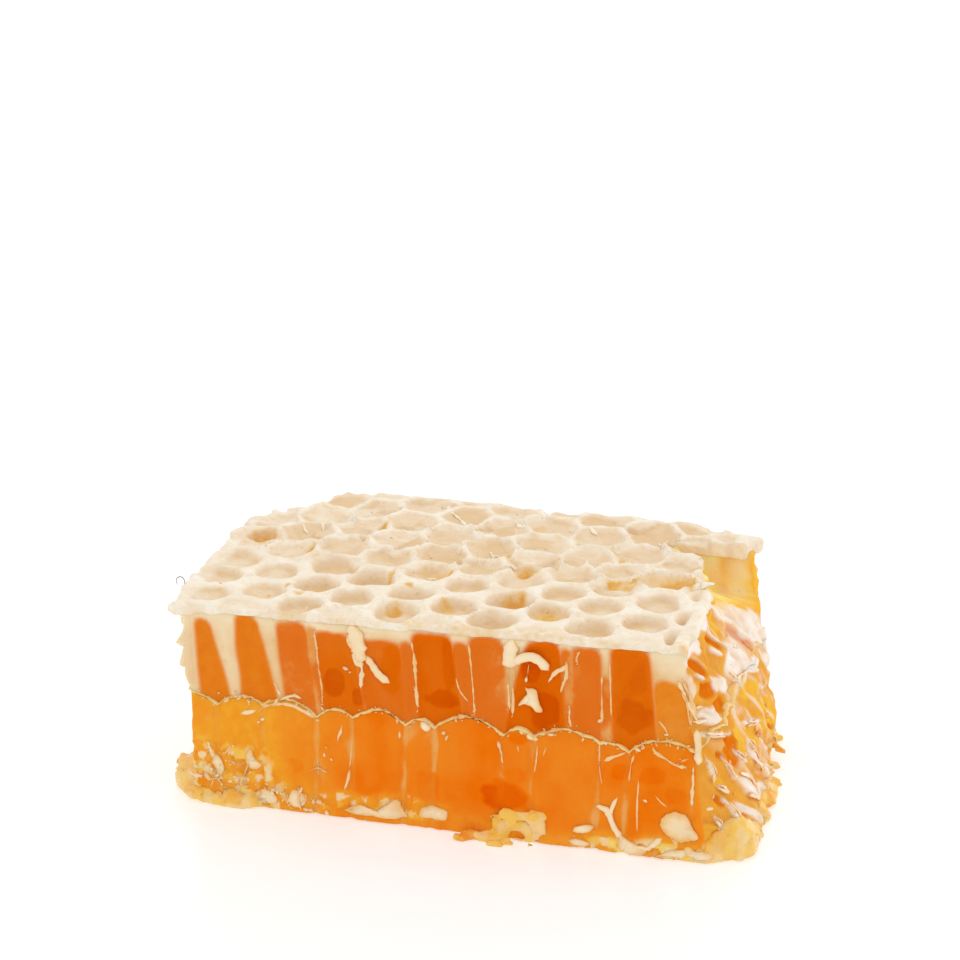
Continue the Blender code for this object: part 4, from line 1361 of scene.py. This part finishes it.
def crumb(place_on, a, b, size, seed, out=0.0, tint=0.0):
    """An angular crumb of wax about size across, longer one way."""
    draws = np.random.default_rng(seed)
    around = np.linspace(0.0, 2 * math.pi, CRUMB_SIDES, endpoint=False)
    tilt = np.radians(CRUMB_TILTS)[:, None]
    level = np.cos(tilt)
    ball = np.stack([level * np.cos(around), level * np.sin(around), np.sin(tilt) + 0 * around], -1)
    dents = draws.uniform(0.65, 1.3, (len(CRUMB_TILTS), CRUMB_SIDES, 1))
    ball = ball * dents * (draws.uniform(1.0, 1.8), 0.75, 0.6)
    turn, _ = np.linalg.qr(draws.normal(size=(3, 3)))
    centre = place_on(np.array([a]), np.array([b]), np.array([out]))[0]
    places, faces = rings_closed(ball @ (turn * np.linalg.det(turn)) * size / 2 + centre)
    return places, faces, np.full(len(places), mix(draws.uniform(0.0, 0.7), 1.0, tint))


FRONT_STRANDS = [
    # points across and up, width, thickness, raggedness, lift
    ([(-10.2, 20.0), (-9.7, 18.6), (-9.3, 17.2), (-9.2, 16.2)], 1.35, 0.5, 0.35, 0.0),
    ([(-9.3, 16.6), (-9.2, 15.6), (-9.15, 14.6), (-9.2, 13.6)], 0.5, 0.35, 0.6, 0.0),
    ([(-9.9, 17.4), (-9.7, 16.4), (-9.3, 15.7)], 0.35, 0.3, 0.9, 0.0),
    ([(-10.6, 18.9), (-10.3, 18.1), (-9.95, 17.3)], 0.3, 0.25, 0.9, 0.0),
    ([(-8.7, 16.9), (-8.1, 16.0), (-7.3, 15.0), (-6.4, 14.35)], 0.75, 0.3, 0.2, 0.15),
    ([(5.6, 20.0), (5.5, 18.9), (5.45, 17.8), (5.5, 17.1)], 1.3, 0.55, 0.2, 0.0),
    ([(5.8, 17.6), (6.6, 18.25), (7.5, 18.45), (8.4, 18.0), (9.1, 17.1)], 1.0, 0.45, 0.15, 0.35),
    ([(7.2, 17.6), (7.15, 17.0), (7.1, 16.5)], 0.12, 0.12, 0.3, 0.1),
    ([(7.05, 16.4), (6.95, 15.7)], 0.35, 0.3, 0.3, 0.1),
    ([(11.0, 17.9), (10.2, 17.3), (9.6, 16.8), (9.1, 15.9)], 0.3, 0.25, 0.7, 0.1),
    ([(12.1, 19.4), (11.8, 18.6), (12.0, 18.0)], 0.2, 0.18, 0.8, 0.0),
    ([(10.8, 18.2), (10.9, 17.0), (10.6, 16.0), (10.3, 15.1)], 0.22, 0.2, 0.8, 0.0),
    ([(-13.9, 19.0), (-13.6, 17.0), (-13.35, 15.0), (-13.1, 13.2), (-13.1, 11.6)], 0.16, 0.16, 0.8, 0.0),
    ([(-4.25, 18.9), (-4.0, 17.5), (-3.85, 16.0), (-3.75, 14.5), (-3.6, 12.0)], 0.2, 0.2, 0.9, 0.0),
    ([(1.4, 19.2), (1.7, 16.5), (1.95, 14.0), (2.1, 12.2)], 0.16, 0.14, 0.5, 0.0),
    ([(0.2, 15.6), (0.6, 14.4), (1.4, 13.3)], 0.14, 0.12, 0.5, 0.0),
    ([(5.25, 17.2), (5.35, 15.0), (5.5, 13.0)], 0.22, 0.2, 0.9, 0.0),
    ([(5.85, 17.2), (5.8, 15.0), (5.75, 12.3)], 0.2, 0.2, 0.9, 0.0),
    ([(14.3, 17.2), (14.4, 15.0), (14.5, 12.6)], 0.18, 0.16, 0.7, 0.0),
    ([(15.0, 18.6), (15.2, 16.0), (15.35, 13.4)], 0.15, 0.14, 0.5, 0.0),
    ([(11.3, 14.0), (11.3, 12.9), (11.5, 12.0)], 0.18, 0.16, 0.9, 0.0),
    ([(19.9, 13.4), (20.5, 12.7), (20.9, 11.9)], 0.14, 0.12, 0.6, 0.0),
    ([(22.8, 15.4), (23.0, 14.2), (22.9, 13.0)], 0.18, 0.16, 0.9, 0.0),
    ([(21.6, 17.4), (22.4, 16.0), (23.0, 14.8), (23.7, 13.6)], 0.35, 0.25, 0.9, 0.0),
    ([(22.0, 17.6), (22.7, 16.3), (23.1, 15.2), (23.4, 13.9)], 0.25, 0.2, 0.9, 0.1),
    ([(21.9, 16.4), (22.5, 15.3), (22.7, 14.2), (22.9, 13.2)], 0.2, 0.16, 0.9, 0.0),
    ([(23.5, 12.9), (23.7, 11.9), (23.8, 10.8), (23.8, 9.5)], 0.65, 0.5, 0.45, 0.0),
    ([(23.4, 9.3), (23.4, 7.6), (23.4, 5.3)], 0.3, 0.2, 0.6, 0.0),
    ([(-17.95, 13.4), (-17.6, 12.6), (-17.2, 12.0)], 0.3, 0.25, 0.9, 0.0),
    ([(-19.6, 10.2), (-18.6, 10.9), (-17.0, 11.2), (-15.6, 11.0), (-14.3, 10.4), (-13.8, 10.0)],
     0.25, 0.2, 0.9, 0.0),
    ([(-17.4, 11.6), (-16.2, 12.1), (-15.2, 11.9)], 0.3, 0.25, 0.9, 0.0),
    ([(-21.4, 9.7), (-20.6, 9.95), (-19.8, 10.2)], 0.3, 0.2, 0.7, 0.0),
    ([(19.4, 11.1), (19.8, 10.4), (20.9, 9.8), (21.9, 9.3), (22.8, 9.2)], 0.22, 0.18, 0.8, 0.0),
    ([(22.9, 10.0), (22.2, 9.7)], 0.18, 0.16, 0.8, 0.0),
    ([(14.8, 8.9), (15.6, 9.4), (16.9, 9.95)], 0.24, 0.2, 0.7, 0.0),
    ([(17.7, 9.9), (17.4, 8.5), (17.3, 7.2)], 0.2, 0.18, 0.6, 0.0),
    ([(14.3, 10.6), (14.35, 8.4), (14.7, 6.6)], 0.16, 0.14, 0.8, 0.0),
    ([(4.4, 9.7), (4.7, 8.6), (4.9, 7.4)], 0.24, 0.2, 0.8, 0.0),
    ([(8.3, 9.7), (8.2, 8.2), (8.1, 7.0)], 0.24, 0.2, 0.7, 0.0),
    ([(9.2, 9.7), (8.9, 8.8)], 0.2, 0.16, 0.6, 0.0),
    ([(6.3, 9.5), (6.5, 8.9)], 0.18, 0.14, 0.5, 0.0),
    ([(-11.1, 9.6), (-11.35, 8.7), (-11.6, 7.8)], 0.26, 0.2, 0.7, 0.0),
    ([(-10.45, 5.1), (-10.6, 4.0), (-10.9, 2.9)], 0.26, 0.2, 0.7, 0.0),
    ([(-13.75, 5.8), (-13.6, 4.8), (-13.6, 3.9)], 0.2, 0.16, 0.8, 0.0),
    ([(-5.3, 9.7), (-5.35, 8.9)], 0.3, 0.2, 0.4, 0.0),
    ([(-10.2, 8.0), (-10.3, 6.4), (-10.5, 5.2)], 0.14, 0.1, 0.5, 0.0),
    ([(18.25, 7.4), (18.2, 4.6), (18.3, 2.4)], 0.14, 0.1, 0.5, 0.0),
    ([(19.9, 6.2), (20.6, 5.5), (21.1, 5.2)], 0.12, 0.1, 0.6, 0.0),
    ([(-23.4, 5.2), (-22.9, 5.6), (-22.4, 6.3)], 0.22, 0.18, 0.6, 0.0),
    ([(-27.0, 3.1), (-26.4, 2.7), (-25.4, 2.6)], 0.45, 0.4, 0.5, 0.0),
    ([(16.25, 5.5), (15.95, 4.9), (15.75, 4.3), (15.7, 3.5)], 0.4, 0.3, 0.15, 0.1),
    ([(14.1, 4.3), (14.8, 4.3), (15.4, 4.1), (15.7, 3.3), (16.2, 2.3), (16.8, 1.5)], 0.62, 0.35, 0.15, 0.1),
    ([(15.0, 4.2), (15.5, 3.7), (15.8, 2.9)], 0.6, 0.35, 0.2, 0.1),
    ([(17.0, 1.5), (18.2, 0.9), (19.3, 0.9), (20.0, 1.4), (20.7, 2.1)], 0.5, 0.3, 0.3, 0.0),
    ([(-20.6, 4.8), (-21.3, 2.8), (-22.2, 0.5)], 0.18, 0.16, 0.5, 0.3),
    ([(-15.4, 2.7), (-15.5, 1.5), (-15.3, 0.3)], 0.22, 0.2, 0.6, 0.3),
    ([(-24.9, 6.2), (-24.5, 5.2), (-24.3, 4.4)], 0.3, 0.2, 0.8, 0.0),
    ([(-22.6, 4.6), (-21.6, 4.4), (-20.8, 4.9)], 0.25, 0.2, 0.8, 0.0),
    ([(-14.4, 4.6), (-13.6, 4.9), (-12.6, 4.6)], 0.25, 0.2, 0.8, 0.1),
]
FRONT_FLAKES = [
    # outline across and up, thickness, lift, cup
    ([(6.9, 15.3), (8.0, 15.1), (8.3, 14.0), (8.65, 13.1), (8.1, 12.9), (7.6, 13.4), (6.8, 13.6),
      (6.25, 13.4), (6.7, 14.2), (7.1, 14.7)], 0.5, 0.25, 0.1),
    ([(20.4, 3.4), (20.8, 4.3), (21.5, 4.7), (22.1, 4.85), (22.8, 4.6), (23.2, 4.1), (23.5, 3.5),
      (24.1, 2.9), (24.2, 2.5), (23.8, 2.2), (22.6, 1.95), (21.3, 2.4)], 0.3, 0.0, 0.1),
    ([(-11.0, 0.85), (-10.2, 1.3), (-9.2, 1.7), (-7.5, 1.3), (-6.3, 1.9), (-5.5, 2.8), (-4.8, 1.6),
      (-4.6, 0.9), (-6.2, 0.6), (-8.0, 0.65), (-10.5, 0.6)], 0.35, 0.2, 0.0),
    ([(12.0, 1.7), (12.3, 2.2), (13.4, 2.5), (14.0, 2.3), (13.6, 1.8), (12.6, 1.6)], 0.35, 0.2, 0.1),
    ([(11.6, 0.8), (12.4, 1.0), (13.7, 0.7), (13.4, 0.3), (12.2, 0.35)], 0.35, 0.3, 0.0),
    ([(16.5, 1.9), (17.4, 1.5), (18.6, 1.1), (19.4, 0.7), (18.8, 0.15), (17.6, 0.1), (16.6, 0.5)],
     0.3, 0.2, 0.0),
    ([(20.2, 0.3), (21.6, 1.0), (23.6, 1.2), (25.6, 1.1), (25.4, 0.5), (23.0, 0.3)], 0.35, 0.3, 0.0),
    ([(-24.6, 4.2), (-24.2, 5.1), (-23.6, 4.8), (-23.2, 4.1), (-23.3, 3.3), (-23.9, 3.0)], 0.3, 0.15, 0.05),
    ([(-20.9, 5.6), (-20.4, 6.2), (-20.0, 5.2), (-19.3, 4.4), (-20.2, 4.0), (-21.0, 4.6)], 0.3, 0.1, 0.0),
    ([(-19.8, 1.2), (-19.4, 2.0), (-18.3, 1.9), (-17.7, 1.3), (-18.1, 0.6), (-19.4, 0.6)], 0.4, 0.15, 0.0),
    ([(-16.8, 1.2), (-16.3, 2.2), (-15.5, 2.4), (-14.7, 1.6), (-15.2, 0.8), (-16.2, 0.6)], 0.4, 0.1, 0.0),
    ([(-3.3, 10.9), (-2.8, 11.0), (-2.2, 10.4), (-2.6, 9.9), (-3.2, 10.3)], 0.4, 0.1, 0.0),
    ([(7.2, 10.8), (7.9, 10.7), (8.4, 10.3), (7.7, 10.1), (7.2, 10.4)], 0.35, 0.05, 0.0),
    ([(-3.4, 1.2), (-3.0, 2.2), (-1.4, 2.3), (-0.4, 2.0), (-0.7, 1.1), (-2.0, 1.0)], 0.25, 0.05, 0.0),
]
# Crumbs: across, up, and size.
FRONT_CRUMBS = [
    (14.4, 12.9, 0.5), (2.1, 12.6, 0.35), (-10.8, 15.4, 0.5), (-10.4, 15.0, 0.35),
    (19.0, 5.6, 0.4), (-22.2, 6.3, 0.3), (-23.7, 11.5, 0.3), (-20.5, 11.1, 0.45),
    (-19.6, 9.0, 0.35), (-19.2, 9.3, 0.4), (-15.9, 12.2, 0.4), (-12.7, 7.2, 0.3),
    (-13.6, 9.8, 0.3), (20.7, 12.1, 0.3), (25.2, 5.5, 0.5), (-0.9, 10.0, 0.5),
    (-0.6, 9.6, 0.4), (15.0, 10.7, 0.35), (8.3, 2.2, 0.8), (8.5, 1.2, 0.7),
    (-12.9, 6.4, 0.3), (-12.2, 6.0, 0.3),
]
# Fine crumbs along the midrib, and scattered over the crushed cells at the left.
RIB_CRUMBS = 170
CRUSHED_CRUMBS = 170
# Nothing loose reaches below this.
LOWEST_WAX = 0.02


def front_wax_mesh():
    """Every strand, flake and crumb on the front cut, in one mesh."""
    parts = []
    for number, (points, width, thick, ragged, lift) in enumerate(FRONT_STRANDS):
        fine = 0.7 * float(smooth(0.4, 0.2, width))
        parts.append(strand(on_front, points, width, thick, ragged, 100 + number, lift, fine))
    for number, (outline, thick, lift, cup) in enumerate(FRONT_FLAKES):
        parts.append(flake(on_front, outline, 0.55 * thick, 200 + number, 0.2 * lift, cup))
    for number, (a, b, size) in enumerate(FRONT_CRUMBS):
        parts.append(crumb(on_front, a, b, size, 300 + number, size * 0.15))
    draws = np.random.default_rng(31)
    for number in range(RIB_CRUMBS):
        a = draws.uniform(-26.0, 23.5)
        b = float(front_rib(np.array([a]))[0]) + draws.normal(0.0, 0.17)
        size = 0.1 + 0.13 * draws.exponential()
        parts.append(crumb(on_front, a, b, size, 400 + number, 0.05, draws.uniform(0.0, 0.8)))
    for number in range(CRUSHED_CRUMBS):
        a, b = draws.uniform(-26.8, -12.5), 0.3 + 6.4 * draws.beta(1.2, 2.0)
        run, climb = draws.normal(0.0, 0.35), draws.normal(0.0, 0.5)
        if b < 7.2 - 0.4 * (a + 27.0):
            size = 0.12 + 0.16 * draws.exponential()
            parts.append(crumb(on_front, a, b, size, 1300 + number, 0.1 * size, draws.uniform(-0.6, 1.0)))
        if b < 6.0 - 0.4 * (a + 27.0) and number % 4 == 0:
            width = draws.uniform(0.07, 0.16)
            line = [(a, b), (a + run, b + 0.6 * climb), (a + 1.6 * run, b + climb)]
            tint = draws.uniform(-0.6, 0.4)
            parts.append(strand(on_front, line, width, 0.8 * width, 0.7, 1700 + number, 0.0, tint))
    for points, width, _, ragged, _ in FRONT_STRANDS:
        if ragged > 0.75:
            for number, (a, b) in enumerate(curve_through(points, 0.5)):
                a, b = a + draws.normal(0.0, 0.07), b + draws.normal(0.0, 0.15)
                size = draws.uniform(0.1, 0.22)
                parts.append(crumb(on_front, a, b, size, 600 + number, 0.06, draws.uniform(0.2, 1.0)))
    places, faces, thin = gather(parts)
    places[:, 2] = np.maximum(places[:, 2], LOWEST_WAX)
    return make_mesh("front_wax", places, faces, {"thin": thin})


def loose_material(name, pale, warm, thin_range, roughness, specular, coat, coat_roughness):
    """Loose wax, warmer where it is thin: thin_range runs from and to for thin, then for the warmth."""
    material, tree, shader = start_material(
        name, roughness, specular, glow_mm=0.3, glow=0.0, coat=coat, coat_roughness=coat_roughness
    )
    warmth = add_range(tree, add_value(tree, "thin"), *thin_range)
    wax = place_group(tree, WAX_GRAIN, Pale=pale, Warm=warm, Warmth=warmth)
    lay_finish(tree, shader, wax["Color"], wax["Height"], 0.1)
    return material


loose_wax = loose_material(
    "loose_wax", tone(252, 236, 200), tone(242, 186, 106), (0.15, 0.9, 0.05, 0.75),
    roughness=0.4, specular=0.25, coat=0.2, coat_roughness=0.2,
)
add_piece(front_wax_mesh(), loose_wax, "cream_wax")

# ---------------------------------------------------------------------------------------------
# Scraps on the lids. Torn ridges and crumbs of the lids' own cream wax, lifted by the knife when the
# block was cut and left lying on the cappings.
# ---------------------------------------------------------------------------------------------

LID_CRUMBS = 110
# The highest that a scrap rises over the lids, and the highest place that one lies on.
SCRAP_LIMIT = 0.3
HIGHEST_BED = 20.9
LID_SCRAPS = [
    # points across and back, width, thickness
    ([(-10.4, 17.0), (-10.0, 15.5), (-8.6, 14.2), (-7.2, 12.6)], 0.4, 0.3),
    ([(-2.3, 14.2), (-1.6, 13.2), (-0.6, 12.8)], 0.45, 0.35),
    ([(5.2, 14.6), (5.9, 13.6), (6.6, 12.9)], 0.5, 0.35),
    ([(12.8, 13.2), (13.4, 12.2), (14.3, 10.8)], 0.4, 0.3),
    ([(-6.3, 8.2), (-5.9, 7.0), (-5.6, 5.8)], 0.35, 0.3),
    ([(-2.8, 6.0), (-2.2, 5.0), (-1.2, 3.5)], 0.45, 0.35),
    ([(7.0, 6.8), (7.5, 5.4), (8.0, 4.2)], 0.35, 0.3),
    ([(-23.2, 7.6), (-22.6, 6.6), (-22.0, 6.0)], 0.3, 0.25),
    ([(-21.3, 8.6), (-20.9, 7.4)], 0.35, 0.25),
    ([(11.5, 7.2), (11.9, 6.6)], 0.35, 0.25),
    ([(0.2, 1.6), (0.6, 1.2), (1.3, 1.9)], 0.5, 0.3),
    ([(-20.6, -12.4), (-20.0, -12.0), (-19.4, -12.3)], 0.3, 0.25),
    ([(20.0, 0.8), (20.7, 1.3), (21.2, 1.9)], 1.3, 0.5),
    ([(-3.3, 3.6), (-2.9, 2.6)], 0.25, 0.25),
]


def on_lids(a, b, out):
    """A place on the cappings: a across, b back, standing out by out."""
    top, _, _, _ = lids_at(a, b)
    return np.stack([a, b, np.minimum(top, HIGHEST_BED) + np.minimum(out, SCRAP_LIMIT)], -1)


def lid_scraps_mesh():
    """The ridges and crumbs left on the lids, in one mesh."""
    parts = []
    for number, (points, width, thick) in enumerate(LID_SCRAPS):
        parts.append(strand(on_lids, points, width, thick, 0.6, 1500 + number, 0.0, -0.4))
    draws = np.random.default_rng(59)
    for number in range(LID_CRUMBS):
        a, b = draws.uniform(-26.0, 17.0), draws.uniform(-13.0, 16.5)
        size = 0.14 + 0.12 * draws.exponential()
        parts.append(crumb(on_lids, a, b, size, 1600 + number, 0.0, draws.uniform(-0.5, 0.4)))
    places, faces, thin = gather(parts)
    return make_mesh("lid_scraps", places, faces, {"thin": np.clip(thin, 0.0, 1.0)})


scrap_wax = loose_material(
    "lid_scrap_wax", tone(252, 243, 226), tone(238, 206, 156), (0.0, 1.0, 0.0, 1.0),
    roughness=0.4, specular=0.3, coat=0.0, coat_roughness=0.1,
)
add_piece(lid_scraps_mesh(), scrap_wax, "cream_wax")

# ---------------------------------------------------------------------------------------------
# Shreds of the torn end. Cell walls that were pulled, not cut: glossy strips of wax wet with honey,
# dragged down towards the back, some white and some amber, with crumbs of broken wall between them.
# ---------------------------------------------------------------------------------------------

END_CRUMBS = 90
# No shred reaches past this at the right.
END_LIMIT = 30.4


def on_end(a, b, out):
    """A place on the torn end: a from front to back, b up, standing out by out."""
    up = b / BLOCK_TOP
    x = np.full(np.shape(a), FAR)
    for side in (1, 2, 3):
        ax, ay = [mix(PLAN_FOOT[side][k], PLAN_TOP[side][k], up) for k in (0, 1)]
        bx, by = [mix(PLAN_FOOT[side + 1][k], PLAN_TOP[side + 1][k], up) for k in (0, 1)]
        x = np.minimum(x, mix(ax, bx, (a - ay) / (by - ay)))
    relief, _, _, _ = torn_relief(x, a, b)
    return np.stack([x + relief.mean() + 0.3 * (relief - relief.mean()) + out, a, b], -1)


def end_shreds_mesh():
    """A strip along each edge of the white smears of the torn end, and crumbs over it."""
    draws = np.random.default_rng(47)
    parts = []
    for number, (middle, level, long, wide, climb) in enumerate(WHITE_WAX_AND_HIGHLIGHT_SMEARS):
        cos, sin = math.cos(math.radians(climb)), math.sin(math.radians(climb))
        for side in (-1.0, 1.0):
            start, stop = draws.uniform(-0.95, -0.3), draws.uniform(0.3, 0.95)
            bends = draws.normal(0.0, 0.12, 4) + side * draws.uniform(0.5, 0.95)
            runs = np.linspace(start, stop, 4) * long
            bends = bends * wide
            points = [(middle + u * cos - v * sin, level + u * sin + v * cos) for u, v in zip(runs, bends)]
            low, back = min(b for _, b in points), max(a for a, _ in points)
            if low > 0.8 and back < 14.5 and points[0][0] > -16.0 and points[0][1] < 18.6:
                width, thick = draws.uniform(0.1, 0.35), draws.uniform(0.1, 0.25)
                tint = draws.uniform(0.0, 0.5)
                parts.append(strand(on_end, points, width, thick, 0.7, 700 + number, 0.25, tint))
    for number in range(END_CRUMBS):
        a, b = draws.uniform(-15.5, 14.0), draws.uniform(1.0, 18.0)
        size = 0.12 + 0.13 * draws.exponential()
        parts.append(crumb(on_end, a, b, size, 900 + number, 0.05, draws.uniform(0.2, 1.0)))
    places, faces, thin = gather(parts)
    places[:, 0] = np.minimum(places[:, 0], END_LIMIT)
    return make_mesh("end_shreds", places, faces, {"thin": thin})


torn_wax = loose_material(
    "torn_wax", tone(251, 234, 210), tone(247, 184, 80), (0.25, 1.0, 0.0, 0.9),
    roughness=0.3, specular=0.3, coat=0.3, coat_roughness=0.15,
)
add_piece(end_shreds_mesh(), torn_wax, "cream_wax")

# ---------------------------------------------------------------------------------------------
# Stray hair. One fine dark hair of a bee, caught in the wax while it was soft: it curls up from the
# front left corner of the top in a small open ring.
# ---------------------------------------------------------------------------------------------

HAIR_WIDTH = 0.09
CURL_RADIUS = 0.4
HAIR_SIDES = 8


def hair_mesh():
    """A tapered tube that rises from its root in the wax and curls round once."""
    foot = np.array([PLAN_TOP[8][0] - 1.0, -11.4, BLOCK_TOP - 0.2])
    turns = np.linspace(math.radians(-20.0), math.radians(235.0), 40)[:, None]
    centre = foot - (0.5, 0.0, 0.0)
    curl = np.concatenate([np.cos(turns), 0.2 * np.cos(turns), 1.15 * np.sin(turns)], 1)
    spine = centre + CURL_RADIUS * curl
    root = mix(centre + (1.5, 0.2, -0.55), spine[0], np.linspace(0.0, 0.9, 10)[:, None])
    spine = np.concatenate([root, spine])
    sideways = np.array([-0.2, 0.98, 0.0])
    outward = np.cross(np.gradient(spine, axis=0), sideways)
    outward = outward / np.linalg.norm(outward, axis=1, keepdims=True)
    taper = np.sqrt(np.sin(np.linspace(0.12, math.pi - 0.12, len(spine))))[:, None, None]
    around = np.linspace(0.0, 2 * math.pi, HAIR_SIDES, endpoint=False)[:, None]
    section = outward[:, None] * np.cos(around) + sideways * np.sin(around)
    rings = spine[:, None] + HAIR_WIDTH / 2 * taper * section
    places, faces = rings_closed(rings)
    return make_mesh("stray_hair", places, faces)


def hair_material():
    material, tree, shader = start_material("hair", roughness=0.45, specular=0.4, glow_mm=0.1, glow=0.0)
    mottle = add_range(tree, add_noise(tree, 0.25, 1.0), 0.35, 0.65)
    colour = add_mix(tree, mottle, tone(96, 88, 76), tone(150, 140, 122))
    lay_finish(tree, shader, colour, add_noise(tree, 0.12, 1.0), 0.02)
    return material


hair = hair_material()
add_piece(hair_mesh(), hair, "cream_wax")

# ---------------------------------------------------------------------------------------------
# Studio. A pale floor that holds a faint reflection, a white room, three soft lamps, and the camera,
# which looks down on the front of the block from a little to the right.
# ---------------------------------------------------------------------------------------------

floor_mesh = bpy.data.meshes.new("floor")
floor_mesh.from_pydata([(-3, -3, 0), (3, -3, 0), (3, 3, 0), (-3, 3, 0)], [], [(0, 1, 2, 3)])
floor = bpy.data.objects.new("floor", floor_mesh)
bpy.context.scene.collection.objects.link(floor)
floor_material = bpy.data.materials.new("floor_white")
floor_material.use_nodes = True
floor_shader = floor_material.node_tree.nodes["Principled BSDF"].inputs
floor_shader["Base Color"].default_value = (0.6, 0.595, 0.59, 1)
floor_shader["Roughness"].default_value = 0.3
floor_shader["Emission Color"].default_value = (1, 1, 1, 1)
floor_shader["Emission Strength"].default_value = 0.46
floor_mesh.materials.append(floor_material)

world = bpy.data.worlds.new("white_room")
world.use_nodes = True
tree = world.node_tree
room = tree.nodes["Background"]
room.inputs["Color"].default_value = (1, 1, 1, 1)
seen = add_node(tree, "ShaderNodeLightPath").outputs["Is Camera Ray"]
tree.links.new(add_range(tree, seen, 0.0, 1.0, 0.9, 1.05), room.inputs["Strength"])
bpy.context.scene.world = world

# Each lamp: its place and what it is aimed at, in metres, how wide it is, and its power.
LAMPS = [
    ("over", (-0.1, 0.1, 0.6), (0, 0, 0.01), 0.4, 0.4),
    ("right", (0.45, 0.2, 0.25), (0.02, 0, 0.01), 0.16, 0.12),
    ("behind", (0.22, 0.5, 0.14), (0.02, 0, 0.01), 0.2, 0.18),
]
for name, place, aim, size, power in LAMPS:
    light = bpy.data.lights.new(name, "AREA")
    light.energy = power
    light.size = size
    lamp = bpy.data.objects.new(name, light)
    lamp.location = place
    lamp.rotation_euler = (Vector(aim) - Vector(place)).to_track_quat("-Z", "Y").to_euler()
    bpy.context.scene.collection.objects.link(lamp)

CAMERA_PLACE = (0.08846, -0.3117, 0.13918)
LOOKING_DOWN, LOOKING_LEFT = 18.59, 16.2
camera_data = bpy.data.cameras.new("camera")
camera_data.sensor_width = 36.0
camera_data.lens = 131.25
camera_data.clip_start = 0.01
camera = bpy.data.objects.new("camera", camera_data)
camera.location = CAMERA_PLACE
camera.rotation_euler = (math.radians(90 - LOOKING_DOWN), 0, math.radians(LOOKING_LEFT))
bpy.context.scene.collection.objects.link(camera)
bpy.context.scene.camera = camera
bpy.context.scene.view_settings.view_transform = "Standard"
